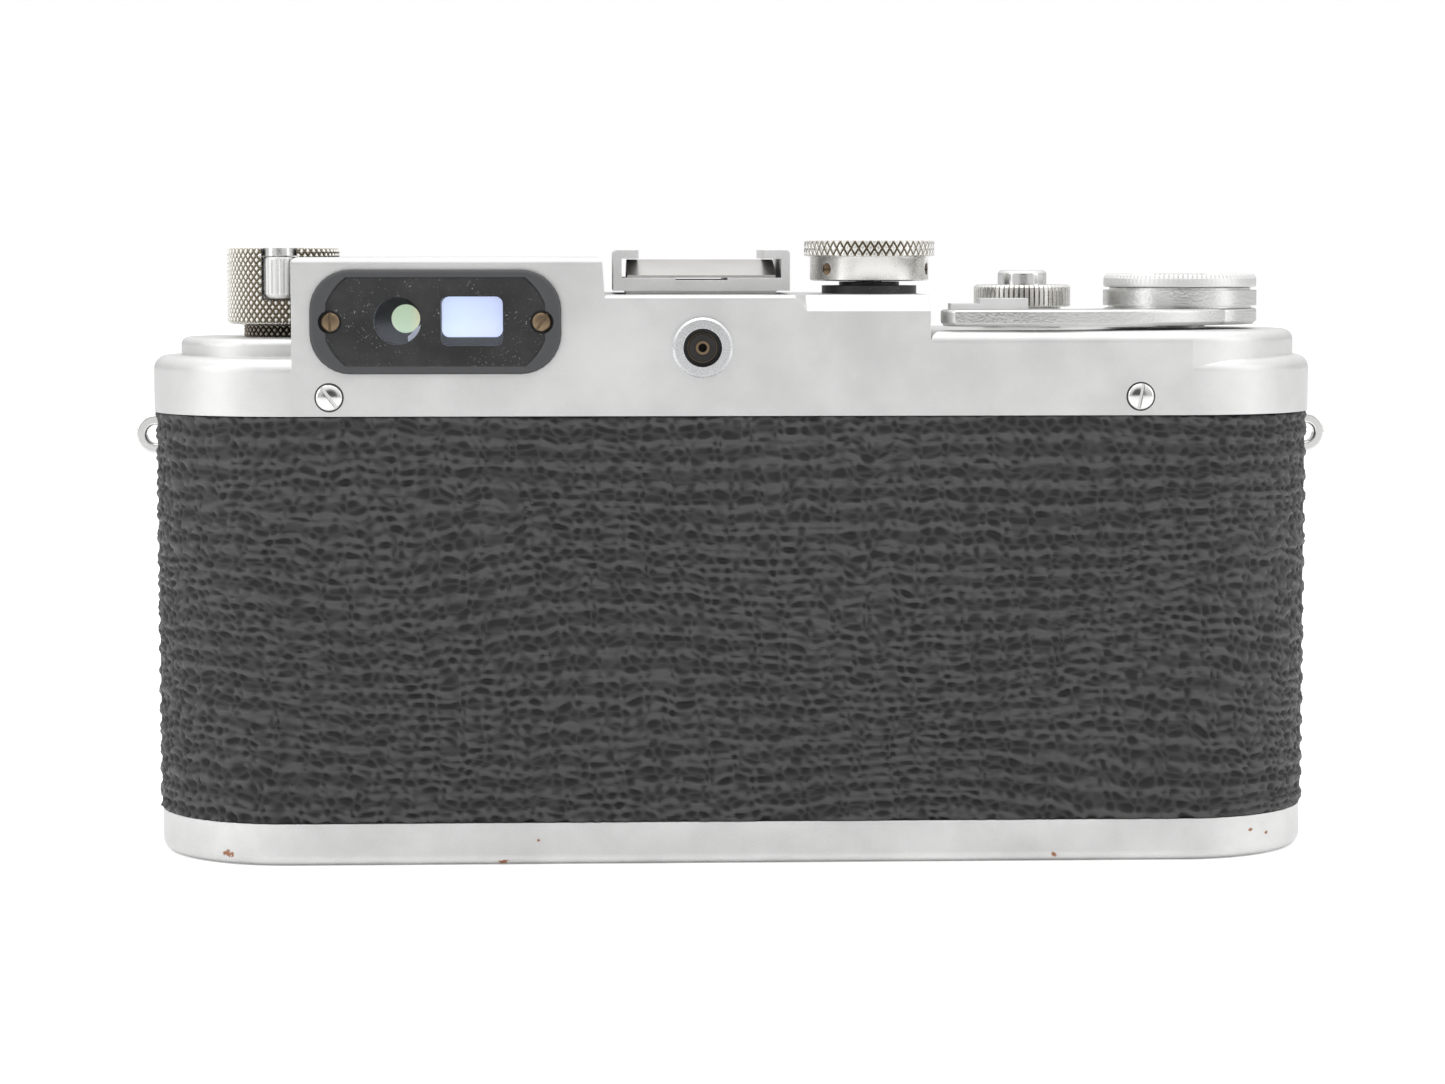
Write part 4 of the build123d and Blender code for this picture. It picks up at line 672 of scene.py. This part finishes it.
knob_rows = [(0, KNOB_BOTTOM), (5.9, KNOB_BOTTOM), (6.25, KNOB_BOTTOM + 0.12)]
knob_rows += steps(KNOB_BOTTOM + 0.3, KNOB_TOP - 0.2, 0.09, KNOB_RADIUS)
knob_rows += [(6.4, KNOB_TOP, 0.8), (6.0, KNOB_TOP), (0, KNOB_TOP)]
knob_knurl = diamonds(KNOB_POINTS, KNOB_RADIUS, 0.34, tall=1.25)
knob = add_piece(
    turned("rewind_knob_knurled", knob_rows, 8 * KNOB_POINTS, upright(REWIND_X, 0), knob_knurl, closed=False),
    knurled, "rewind_knob", "polished_chrome", "rewind_knob",
)
left, right = REWIND_X - SLOT_HALF_WIDTH, REWIND_X + SLOT_HALF_WIDTH
cut_with(knob, [
    cutter_box((left, POCKET_START, POCKET_FLOOR), (right, POCKET_END, ABOVE)),
    cutter_box((left, -SLOT_HALF_LENGTH, SLOT_FLOOR), (right, SLOT_HALF_LENGTH, ABOVE)),
    cutter_rod((REWIND_X, 0, SHAFT_START), (0, 0, 1), SHAFT_BORE, SHAFT_END - SHAFT_START),
    cutter_rod((REWIND_X - HINGE_REACH, HINGE_Y, HINGE_Z), (1, 0, 0), HINGE_BORE, 2 * HINGE_REACH),
])

handle_rows = [(0.95, 64.7), (1.25, 64.7), (1.55, 64.8), (1.78, 65.0), (1.88, 65.25)]
handle_rows += steps(65.35, 69.3, 0.5, 1.9) + [(1.88, 69.4), (1.75, 69.65), (0.95, 69.7)]
add_piece(
    turned("crank_handle_fluted", handle_rows, 192, upright(REWIND_X, HANDLE_Y), flutes(16, 0.12)),
    satin, "crank_handle", "polished_chrome", "crank_handle",
)

sleeve_rows = [(2.05, 60.3), (4.45, 60.3)] + steps(60.35, 61.6, 0.09, SLEEVE_RADIUS)
sleeve_rows += [(4.45, 61.7), (2.05, 61.7)]
sleeve_knurl = diamonds(SLEEVE_POINTS, SLEEVE_RADIUS, 0.26, tall=1.25)
add_piece(
    turned("rewind_sleeve_knurled", sleeve_rows, 8 * SLEEVE_POINTS, upright(REWIND_X, 0), sleeve_knurl),
    aged_knurl, "camera_body", "black_enamel", "rewind_sleeve",
)

# ---------- speed dial, collar and counter

DIAL_X, DIAL_FACE = -16.0, 71.38
DIAL_POINTS, DIAL_RADIUS = 52, 7.7
SET_SCREW_Z, SET_SCREW_BORE, SET_SCREW_ANGLES = 68.2, 0.7, (40, 160, 280)
RELEASE_X, RELEASE_Y = -34.7, -4.0
COLLAR_FLUTES, COLLAR_RADIUS = 59, 5.75
WIND_X, COUNTER_FACE, COUNTER_TEETH = -53.0, 67.45, 100

dial_rows = [(1.55, 66.8), (6.75, 66.8), (7.0, 66.95), (7.0, 69.45), (7.1, 69.6), (7.35, 69.68)]
dial_rows += steps(69.78, 71.42, 0.07, DIAL_RADIUS)
dial_rows += [(7.55, 71.5, 1), (7.0, 71.5), (6.8, DIAL_FACE), (1.9, DIAL_FACE), (1.55, 71.3)]
dial_knurl = diamonds(DIAL_POINTS, DIAL_RADIUS, 0.32, tall=1.65, steep=2.6)
dial = add_piece(
    turned("speed_dial_knurled", dial_rows, 10 * DIAL_POINTS, upright(DIAL_X, 0), dial_knurl),
    knurled, "speed_dial", "polished_chrome", "speed_dial",
)
cut_with(dial, [
    cutter_rod((DIAL_X, 0, SET_SCREW_Z), (math.cos(turn), math.sin(turn), 0), SET_SCREW_BORE, 9)
    for turn in map(math.radians, SET_SCREW_ANGLES)
])

collar_rows = [(3.95, 63.65), (5.45, 63.65)] + steps(63.8, 66.0, 0.5, COLLAR_RADIUS)
collar_rows += [(5.45, 66.28), (5.2, 66.3), (4.7, 66.2), (3.95, 66.2)]
collar_axis, collar_flutes = upright(RELEASE_X, RELEASE_Y), flutes(COLLAR_FLUTES, 0.28, 3.4)
add_piece(
    turned("selector_collar_fluted", collar_rows, 12 * COLLAR_FLUTES, collar_axis, collar_flutes),
    knurled, "selector_collar", "polished_chrome", "selector_collar",
)

counter_rows = [(3.05, 66.05), (8.85, 66.05), (9.0, 66.2), (9.0, 67.1), (8.95, 67.18, 1)]
counter_rows += [(8.85, 67.4, 1), (8.6, 67.6, 1), (8.1, 67.6), (7.9, COUNTER_FACE), (3.05, COUNTER_FACE)]
counter_teeth = flutes(COUNTER_TEETH, 0.30)
add_piece(
    turned("counter_disc_toothed", counter_rows, 8 * COUNTER_TEETH, upright(WIND_X, 0), counter_teeth),
    satin, "counter_disc", "polished_chrome", "counter_disc",
)

# ---------- lens

SCALLOPS, SCALLOP_REACH, SCALLOP_RADIUS = 12, 26.9, 3.4
FOCUS_RADIUS, FOCUS_FLUTES = 24.3, 168
APERTURE_RADIUS, APERTURE_POINTS = 22.4, 132
LENS_SIDES = 192


def scalloped(angle, height):
    """Finger scallops all round, with fine flutes on the lands between them."""
    spacing = TURN / SCALLOPS
    offset = np.mod(angle + spacing / 2, spacing) - spacing / 2 + 0 * height
    half_width = np.abs(SCALLOP_REACH * np.sin(offset))
    inside = half_width < SCALLOP_RADIUS
    depth = SCALLOP_REACH * np.cos(offset) - np.sqrt(np.maximum(SCALLOP_RADIUS ** 2 - half_width ** 2, 0))
    land = FOCUS_RADIUS + flutes(FOCUS_FLUTES, 0.22)(angle, height)
    return np.where(inside, np.minimum(depth, land), land) - FOCUS_RADIUS


lens_axis = forward(LENS_X, LENS_Z)
focus_rows = [(18.6, 19.6), (23.9, 19.6), (24.3, 19.85), (24.3, 21.2), (24.3, 21.35, 1)]
focus_rows += steps(21.5, 25.6, 0.5, FOCUS_RADIUS)
focus_rows += [(24.3, 25.75, 0.7), (24.0, 25.9), (23.7, 26.2), (23.4, 27.3), (18.6, 27.3)]
add_piece(
    turned("focus_ring_scalloped", focus_rows, 8 * FOCUS_FLUTES, lens_axis, scalloped),
    polished, "focus_ring", "polished_chrome", "focus_ring",
)

aperture_rows = [(20.86, 30.5), (22.1, 30.5), (22.4, 30.8), (22.4, 33.0), (22.2, 33.12), (22.2, 33.2)]
aperture_rows += steps(33.35, 35.1, 0.09, APERTURE_RADIUS) + [(22.1, 35.45), (20.86, 35.5)]
aperture_knurl = diamonds(APERTURE_POINTS, APERTURE_RADIUS, 0.22)
add_piece(
    turned("aperture_ring_knurled", aperture_rows, 8 * APERTURE_POINTS, lens_axis, aperture_knurl),
    polished, "aperture_ring", "polished_chrome", "aperture_ring",
)

baffle_rows = [(14.02, 34.3)]
for step in range(9):
    radius, depth = 14.05 + 0.48 * step, 34.64 + 0.32 * step
    baffle_rows += [(radius, depth), (radius + 0.40, depth), (radius + 0.46, depth + 0.22)]
baffle_rows += [(18.36, 37.42), (18.45, 37.26), (19.42, 37.26)]
for thread in range(7):
    baffle_rows += [(19.42, 37.3 + 0.36 * thread), (19.28, 37.48 + 0.36 * thread)]
baffle_rows += [(19.44, 39.9), (19.47, 39.9), (19.47, 37.22), (14.02, 34.2)]
cell_rows = [(12.2, 25.5), (12.46, 25.5), (12.46, 30.05), (13.92, 30.05), (13.92, 30.45), (12.2, 30.45)]
for name, rows in (("front_baffle", baffle_rows), ("front_cell", cell_rows)):
    add_piece(turned(name, rows, LENS_SIDES, lens_axis), lens_black, "lens_barrel", "black_enamel")

# ---------- eyepieces

EYE_Z = 62.4
VIEW_X, RANGE_X = 30.4, 38.8
WELL_BACK, WELL_FRONT = 13.2, 15.68
FIELD_BACK, FIELD_FRONT = 15.2, 15.4
CORNER_STEPS = 8
QUARTERS = ((1, 1), (-1, 1), (-1, -1), (1, -1))


def circle(radius, count):
    """Points of a round outline, anticlockwise."""
    turns = [TURN * step / count for step in range(count)]
    return [(radius * math.cos(turn), radius * math.sin(turn)) for turn in turns]


def rounded_outline(width, height, corner):
    """Points of a rounded rectangle, anticlockwise."""
    points = []
    for quarter, (sign_x, sign_y) in enumerate(QUARTERS):
        for step in range(CORNER_STEPS + 1):
            turn = (quarter + step / CORNER_STEPS) * math.pi / 2
            points.append((
                sign_x * (width / 2 - corner) + corner * math.cos(turn),
                sign_y * (height / 2 - corner) + corner * math.sin(turn),
            ))
    return points


def slanted_outline(width, height, across, tall):
    """Points of a rectangle with long slanting corners, anticlockwise, as many as a rounded one has."""
    points = []
    for quarter, (sign_x, sign_y) in enumerate(QUARTERS):
        for step in range(CORNER_STEPS + 1):
            share = step / CORNER_STEPS if quarter % 2 == 0 else 1 - step / CORNER_STEPS
            bulge = 0.18 * math.sin(math.pi * share)
            points.append((
                sign_x * (width / 2 - across * share + bulge),
                sign_y * (height / 2 - tall * (1 - share) + bulge),
            ))
    return points


def stacked(name, centre, loops):
    """Solid through outlines of equal point count, each at its own depth, closed at both ends."""
    count = len(loops[0][0])
    points = [(centre[0] + x, depth, centre[1] + z) for outline, depth in loops for x, z in outline]
    last = count * (len(loops) - 1)
    faces = [tuple(range(count)), tuple(range(last, last + count))]
    for loop in range(len(loops) - 1):
        faces += band(loop * count, (loop + 1) * count, count)
    return mesh_of(name, points, faces)


def rear_prism(name, outline, centre, start, end):
    """Solid with a flat outline in the XZ plane, between two depths."""
    return stacked(name, centre, ((outline, start), (outline, end)))


def well(name, outline, centre):
    """Black tube behind an eyepiece, with a closed back that stands in, as painted shade, for the dark inside
    of the finder.
    """
    count = len(outline)
    wall = [(1.08 * x, 1.08 * z) for x, z in outline]
    loops = ((wall, WELL_FRONT), (wall, WELL_BACK - 0.3), (outline, WELL_BACK), (outline, WELL_FRONT))
    points = [(centre[0] + x, depth, centre[1] + z) for loop, depth in loops for x, z in loop]
    faces = [tuple(range(count, 2 * count)), tuple(range(2 * count, 3 * count))]
    for first, second in ((0, 1), (2, 3), (3, 0)):
        faces += band(first * count, second * count, count)
    return mesh_of(name, points, faces)


PLATE_CENTRE = (34.5, 62.3)
PLATE_WIDTH, PLATE_HEIGHT, PLATE_CORNER = 28.4, 11.8, 4.6
DISH_WIDTH, DISH_HEIGHT, DISH_ACROSS, DISH_TALL = 24.4, 9.8, 2.3, 3.0
PLATE_FOOT, PLATE_RIM, PLATE_FLOOR = 16.7, 17.6, 17.05
PLATE_SCREW_XS, PLATE_SCREW_SEAT, PLATE_SCREW_BORE = (46.4, 22.5), 16.75, 1.33
HOLE_START, HOLE_LENGTH = 16.0, 2.0

plate_loops = [(rounded_outline(PLATE_WIDTH, PLATE_HEIGHT, PLATE_CORNER), PLATE_FOOT)]
for inset, drop in ((0.0, 0.32), (0.08, 0.16), (0.22, 0.05), (0.45, 0.0)):
    outline = rounded_outline(PLATE_WIDTH - 2 * inset, PLATE_HEIGHT - 2 * inset, PLATE_CORNER - inset)
    plate_loops.append((outline, PLATE_RIM - drop))
for growth, depth in (
    (0.55, PLATE_RIM), (0.40, PLATE_RIM - 0.06), (0.12, PLATE_FLOOR + 0.05), (0.0, PLATE_FLOOR),
):
    outline = slanted_outline(DISH_WIDTH + growth, DISH_HEIGHT + growth, DISH_ACROSS, DISH_TALL)
    plate_loops.append((outline, depth))
plate = add_piece(
    stacked("eyepiece_plate_dished", PLATE_CENTRE, plate_loops),
    plate_enamel, "camera_body", "black_enamel", "eyepiece_plate",
)
view_hole = rear_prism(
    "cutter", rounded_outline(7.0, 5.55, 0.7), (VIEW_X, EYE_Z), HOLE_START, HOLE_START + HOLE_LENGTH,
)
screw_holes = [
    cutter_rod((x, PLATE_SCREW_SEAT, PLATE_CENTRE[1]), (0, 1, 0), PLATE_SCREW_BORE, HOLE_LENGTH)
    for x in PLATE_SCREW_XS
]
range_hole = cutter_rod((RANGE_X, HOLE_START, EYE_Z), (0, 1, 0), 2.7, HOLE_LENGTH)
cut_with(plate, [shown("cutter", view_hole), range_hole, *screw_holes])

for name, outline, centre_x in (
    ("viewfinder_well", rounded_outline(6.96, 5.5, 0.7), VIEW_X),
    ("rangefinder_well", circle(2.66, 48), RANGE_X),
):
    add_piece(well(name, outline, (centre_x, EYE_Z)), finder_black, "camera_body", "black_enamel")

view_light = lit_field("viewfinder_light", (0.76, 0.83, 0.98), (0.70, 0.73, 0.93), VIEW_X, 3.5, 0.62)
range_light = lit_field(
    "rangefinder_light", (0.52, 0.63, 0.42), (0.74, 0.68, 0.43), RANGE_X - 1.95, 0.75, 0.62,
)
glint_light = lit_field("finder_glint", (0.50, 0.49, 0.58), (0.62, 0.61, 0.68), RANGE_X, 3.0, 0.2)
glint = [
    (reach * math.cos(turn), reach * math.sin(turn))
    for reach, start, end in ((2.6, 190, 245), (2.05, 238, 205))
    for turn in np.radians(np.linspace(start, end, 16))
]
for name, outline, centre, recipe in (
    ("viewfinder_field", rounded_outline(6.9, 4.6, 0.85), (VIEW_X, EYE_Z + 0.45), view_light),
    ("rangefinder_field", circle(1.62, 40), (RANGE_X - 0.87, EYE_Z + 0.25), range_light),
    ("rangefinder_glint", glint, (RANGE_X, EYE_Z), glint_light),
):
    field = rear_prism(name, outline, centre, FIELD_BACK, FIELD_FRONT)
    add_piece(field, recipe, "camera_body", "eyepiece_glass")

# ---------- screw heads

COVER_REAR, COVER_SCREW_Z = 16.7, 53.75
COVER_SCREW_XS, COVER_SCREW_ANGLES, COVER_SCREW_RADIUS = (46.6, -45.8), (-53, -101), 1.49
PLATE_SCREW_ANGLES, PLATE_SCREW_RADIUS = (-90, -125), 1.08
HEAD_HEIGHT, DRIVER_SLOT_DEPTH = 0.5, 0.36


def seat_on(x, y, z, facing):
    """Matrix that stands a piece on a wall which faces +Y (facing 1) or -Y (facing -1)."""
    return Matrix.Translation((x * MM, y * MM, z * MM)) @ Matrix.Rotation(-facing * math.pi / 2, 4, "X")


def screw_head(radius, dome, angle, seat):
    """Domed screw head on a seat, with a driver slot turned by the angle in degrees."""
    rows = [(0, HEAD_HEIGHT)]
    for step in range(1, 9):
        turn = step / 8 * math.pi / 2
        rows.append((radius * math.sin(turn), HEAD_HEIGHT - dome * (1 - math.cos(turn))))
    rows += [(radius, -0.1), (0, -0.1)]
    head = shown("head", turned("head", rows, 64, Matrix.Identity(4), closed=False))
    half_width, floor_height = 0.13 * radius, HEAD_HEIGHT - DRIVER_SLOT_DEPTH
    slot = cutter_box((-2 * radius, -half_width, floor_height), (2 * radius, half_width, HEAD_HEIGHT + 1))
    slot.data.transform(Matrix.Rotation(math.radians(angle), 4, "Z"))
    cut_with(head, [slot])
    mesh = head.data
    bpy.data.objects.remove(head)
    mesh.transform(seat)
    return mesh


def joined(name, meshes):
    """One mesh from several."""
    whole = bmesh.new()
    for mesh in meshes:
        whole.from_mesh(mesh)
        bpy.data.meshes.remove(mesh)
    result = bpy.data.meshes.new(name)
    whole.to_mesh(result)
    whole.free()
    return result


cover_heads, cover_gap_shadows = [], []
# Painted shadow: a thin black ring, just proud of the cover, stands for the dark gap around each cover
# screw's head.
gap_rows = [(COVER_SCREW_RADIUS, 0.0), (1.66, 0.0), (1.64, 0.03), (1.50, 0.03)]
for facing in (1, -1):
    for screw_x, angle in zip(COVER_SCREW_XS, COVER_SCREW_ANGLES):
        seat = seat_on(screw_x, facing * COVER_REAR, COVER_SCREW_Z, facing)
        cover_heads.append(screw_head(COVER_SCREW_RADIUS, 0.32, angle, seat))
        cover_gap_shadows.append(turned("seat", gap_rows, 64, seat))
plate_heads = [
    screw_head(PLATE_SCREW_RADIUS, 0.22, angle, seat_on(screw_x, PLATE_SCREW_SEAT, PLATE_CENTRE[1], 1))
    for screw_x, angle in zip(PLATE_SCREW_XS, PLATE_SCREW_ANGLES)
]
add_piece(joined("cover_screw_heads", cover_heads), mirror, "camera_body", "polished_chrome", "cover_screws")
add_piece(joined("cover_screw_gap_shadows", cover_gap_shadows), print_and_gap_shadow, "camera_body", "black_enamel")
add_piece(joined("eyepiece_screw_heads", plate_heads), aged_brass, "camera_body", "brass", "eyepiece_screws")

# ---------- flash socket

SOCKET_X, SOCKET_Z = 4.3, 59.35
RING_WIDTH, RING_DEPTH = 0.07, 0.3

socket_axis = seat_on(SOCKET_X, 0, SOCKET_Z, 1)
# Painted shadow: a near-black plug fills the hole of the centre pin, standing for the shade inside it.
core_rows = [(0, 15.2), (0.49, 15.2), (0.49, 16.3), (0, 16.3)]
add_piece(
    turned("flash_socket_hole_shadow", core_rows, 48, socket_axis, closed=False),
    hole_shadow_black, "camera_body", "black_enamel",
)
for name, radius, top in (("flash_socket_ring_inner", 1.0, 16.86), ("flash_socket_ring_outer", 1.62, 16.3)):
    foot, rim = top - RING_DEPTH, radius + RING_WIDTH
    ring_rows = [(radius, foot), (rim, foot), (rim, top), (radius, top)]
    add_piece(turned(name, ring_rows, 64, socket_axis), aged_brass, "camera_body", "brass")

# ---------- release spring

COIL_RADIUS, WIRE_RADIUS = 2.1, 0.2
COIL_LOW, COIL_HIGH = 61.05, 63.25
COIL_TURNS, COIL_STOPS, WIRE_SIDES = 2.56, 120, 12


def coil(name):
    """Round wire wound about the release button's axis, with flat ends."""
    angle = np.linspace(0, COIL_TURNS * TURN, COIL_STOPS)[:, None]
    around = (np.arange(WIRE_SIDES) * TURN / WIRE_SIDES)[None, :]
    reach = COIL_RADIUS + WIRE_RADIUS * np.cos(around)
    height = np.linspace(COIL_LOW, COIL_HIGH, COIL_STOPS)[:, None] + WIRE_RADIUS * np.sin(around)
    points = np.stack((RELEASE_X + reach * np.cos(angle), RELEASE_Y + reach * np.sin(angle), height), axis=-1)
    last = (COIL_STOPS - 1) * WIRE_SIDES
    faces = [tuple(range(WIRE_SIDES)), tuple(range(last, last + WIRE_SIDES))]
    for low in range(0, last, WIRE_SIDES):
        faces += band(low, low + WIRE_SIDES, WIRE_SIDES)
    return mesh_of(name, points.reshape(-1, 3), faces)


release_coil = add_piece(coil("release_spring_coil"), steel, "release_button", "steel", "release_spring")
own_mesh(release_coil)

# ---------- numbers and marks

MARK_DEPTH, SUNK = 0.05, 0.01
BARREL_RADIUS, MOUNT_RADIUS = 20.8, 21.9
SLOW_FACE = 19.8


def lettered(name, body, texts, ticks):
    """One mesh of raised numbers (text, size, matrix) and tick marks (width, length, matrix), in mm."""
    whole = bmesh.new()
    for text, size, matrix in texts:
        curve = bpy.data.curves.new("glyph", "FONT")
        curve.body, curve.size, curve.extrude = text, size * MM, MARK_DEPTH * MM
        curve.align_x, curve.align_y = "CENTER", "CENTER"
        curve.resolution_u = 4
        holder = shown("glyph", curve)
        bpy.context.view_layer.update()
        shape = bpy.data.meshes.new_from_object(holder.evaluated_get(bpy.context.evaluated_depsgraph_get()))
        shape.transform(matrix)
        whole.from_mesh(shape)
        bpy.data.objects.remove(holder)
        bpy.data.meshes.remove(shape)
    for width, length, matrix in ticks:
        size = Matrix.Diagonal((width * MM, length * MM, 2 * MARK_DEPTH * MM, 1))
        bmesh.ops.create_cube(whole, size=1.0, matrix=matrix @ size)
    bmesh.ops.remove_doubles(whole, verts=whole.verts, dist=1e-7)
    mesh = bpy.data.meshes.new(name)
    whole.to_mesh(mesh)
    whole.free()
    add_piece(mesh, print_and_gap_shadow, body, "black_enamel")


def on_top(x, z, radius, angle):
    """Place on a flat dial that faces up, with the text's foot towards the centre."""
    return (
        Matrix.Translation((x * MM, 0, z * MM)) @ Matrix.Rotation(angle, 4, "Z")
        @ Matrix.Translation((radius * MM, 0, 0)) @ Matrix.Rotation(-math.pi / 2, 4, "Z")
    )


def on_rim(radius, depth, angle):
    """Place sunk a little in a ring around the lens, with the text's foot towards the body."""
    return (
        lens_axis @ Matrix.Rotation(angle, 4, "Z") @ Matrix.Translation(((radius - SUNK) * MM, 0, depth * MM))
        @ Matrix.Rotation(math.pi / 2, 4, "Y") @ Matrix.Rotation(math.pi / 2, 4, "Z")
    )


def on_slow_dial(radius, angle):
    """Place on the slow speed dial, which faces the front."""
    return (
        forward(SLOW_X, SLOW_Z) @ Matrix.Translation((0, 0, SLOW_FACE * MM)) @ Matrix.Rotation(angle, 4, "Z")
        @ Matrix.Translation((radius * MM, 0, 0)) @ Matrix.Rotation(-math.pi / 2, 4, "Z")
    )


def spread(values, start, end):
    """Angle in radians for each value, evenly from start to end in degrees."""
    return zip(values, np.radians(np.linspace(start, end, len(values))))


speeds = ("B", "30", "60", "125", "250", "500", "1000")
lettered(
    "speed_numbers", "speed_dial",
    [(text, 1.5, on_top(DIAL_X, DIAL_FACE, 5.3, angle)) for text, angle in spread(speeds, 60, 330)],
    [(0.16, 0.5, on_top(DIAL_X, DIAL_FACE, 6.35, angle)) for _, angle in spread(speeds, 60, 330)],
)
frames = ("0", "5", "10", "15", "20", "25", "30", "35")
lettered(
    "frame_numbers", "counter_disc",
    [(text, 1.35, on_top(WIND_X, COUNTER_FACE, 5.6, angle)) for text, angle in spread(frames, 90, 405)],
    [(0.14, 0.55 if step % 5 else 0.9, on_top(WIND_X, COUNTER_FACE, 7.2, math.radians(90 + 9 * step)))
     for step in range(40)],
)
distances = ("1", "1.2", "1.5", "2", "3", "5", "10")
lettered(
    "distance_numbers", "focus_ring",
    [(text, 1.25, on_rim(FOCUS_RADIUS, 20.5, angle)) for text, angle in spread(distances, -60, 80)],
    [(0.12, 0.35, on_rim(FOCUS_RADIUS, 21.15, angle)) for angle in np.radians(np.linspace(-60, 90, 31))],
)
stops = ("2.8", "4", "5.6", "8", "11", "16", "22")
lettered(
    "aperture_numbers", "aperture_ring",
    [(text, 1.3, on_rim(APERTURE_RADIUS, 31.9, angle)) for text, angle in spread(stops, 40, 140)],
    [(0.14, 0.5, on_rim(APERTURE_RADIUS, 32.85, angle)) for _, angle in spread(stops, 40, 140)],
)
lettered("aperture_index", "lens_barrel", [], [(0.3, 0.9, on_rim(BARREL_RADIUS, 29.4, math.pi / 2))])
lettered("focus_index", "camera_body", [], [(0.35, 1.5, on_rim(MOUNT_RADIUS, 18.4, math.pi / 2))])
slow = ("1", "2", "4", "8", "15", "30")
lettered(
    "slow_speed_numbers", "slow_speed_dial",
    [(text, 1.5, on_slow_dial(4.4, angle)) for text, angle in spread(slow, 90, 340)],
    [(0.16, 0.5, on_slow_dial(5.5, angle)) for _, angle in spread(slow, 90, 340)],
)

# ---------- floor, light and camera


def floor_material():
    """Pale paper with faint fibres."""
    recipe = Recipe("studio_paper", (0.93, 0.93, 0.93), roughness=0.75)
    fibre = recipe.noise(3 * MM, 5.0, 0.6)
    tone = recipe.mix(recipe.remap(fibre, 0.3, 0.7), (0.92, 0.92, 0.92), (0.95, 0.95, 0.95))
    recipe.feed("Base Color", tone)
    recipe.set("Emission Color", (1.0, 1.0, 1.0, 1.0))
    seen = recipe.nodes.new("ShaderNodeLightPath").outputs["Is Camera Ray"]
    recipe.feed("Emission Strength", recipe.math("MULTIPLY", seen, 0.38))
    recipe.relief(fibre, 0.02 * MM, 0.3)
    return recipe


FLOOR_HALF, FLOOR_Z = 3000, -0.02
floor_corners = [(FLOOR_HALF * x, FLOOR_HALF * y, FLOOR_Z) for x, y in ((-1, -1), (1, -1), (1, 1), (-1, 1))]
floor = shown("floor", mesh_of("floor", floor_corners, [(0, 1, 2, 3)]))
floor.data.materials.append(floor_material().material)
floor.parent = frame["bodies"]["base_plate"]


def studio_world(horizon, zenith, dark, backdrop):
    """Soft white room, brighter overhead, dark behind the camera. The camera itself sees a plain backdrop."""
    world = bpy.data.worlds.new("studio")
    world.use_nodes = True
    tree = world.node_tree
    background = tree.nodes["Background"]
    background.inputs["Color"].default_value = (1.0, 1.0, 1.0, 1.0)
    direction = tree.nodes.new("ShaderNodeTexCoord").outputs["Generated"]
    split = tree.nodes.new("ShaderNodeSeparateXYZ")
    tree.links.new(direction, split.inputs[0])
    sky = smooth_range(tree, split.outputs["Z"], -0.1, 0.75, horizon, zenith)
    toward = vector_node(tree, "DOT_PRODUCT", direction, Vector((0.0, 1.0, 0.02)).normalized())
    outer, inner = math.cos(math.radians(24)), math.cos(math.radians(9))
    patch = smooth_range(tree, toward.outputs["Value"], outer, inner, 1.0, dark)
    seen = tree.nodes.new("ShaderNodeLightPath").outputs["Is Camera Ray"]
    unseen = math_node(tree, "SUBTRACT", 1.0, seen)
    room = math_node(tree, "MULTIPLY", math_node(tree, "MULTIPLY", sky, patch), unseen)
    strength = math_node(tree, "ADD", room, math_node(tree, "MULTIPLY", seen, backdrop))
    tree.links.new(strength, background.inputs["Strength"])
    bpy.context.scene.world = world


studio_world(horizon=0.50, zenith=1.15, dark=0.12, backdrop=1.0)


def area_light(name, location, target, size, power):
    """Soft rectangular light that looks at a point. Places and sizes are in mm."""
    data = bpy.data.lights.new(name, "AREA")
    data.shape, data.size, data.size_y = "RECTANGLE", size[0] * MM, size[1] * MM
    data.energy = power
    light = shown(name, data)
    light.location = Vector(location) * MM
    light.rotation_euler = (Vector(target) * MM - light.location).to_track_quat("-Z", "Y").to_euler()


area_light("overhead", (0, 60, 700), (0, 0, 50), (900, 700), 1.6)
area_light("left_side", (620, 300, 260), (0, 0, 40), (300, 420), 0.55)
area_light("right_side", (-620, 300, 260), (0, 0, 40), (300, 420), 0.42)

CAMERA_TURN, CAMERA_REACH, CAMERA_Z = math.radians(177.5), 409.0, 70.4
CAMERA_TARGET = (1.36, 0.0, 35.8)
CAMERA_SENSOR, CAMERA_LENS = 36.0, 85.95
camera_data = bpy.data.cameras.new("camera")
camera_data.sensor_width, camera_data.lens = CAMERA_SENSOR, CAMERA_LENS
camera = shown("camera", camera_data)
camera.location = Vector((
    math.sin(CAMERA_TURN) * CAMERA_REACH, -math.cos(CAMERA_TURN) * CAMERA_REACH, CAMERA_Z,
)) * MM
camera.rotation_euler = (Vector(CAMERA_TARGET) * MM - camera.location).to_track_quat("-Z", "Y").to_euler()
bpy.context.scene.camera = camera
bpy.context.scene.view_settings.view_transform = "Standard"
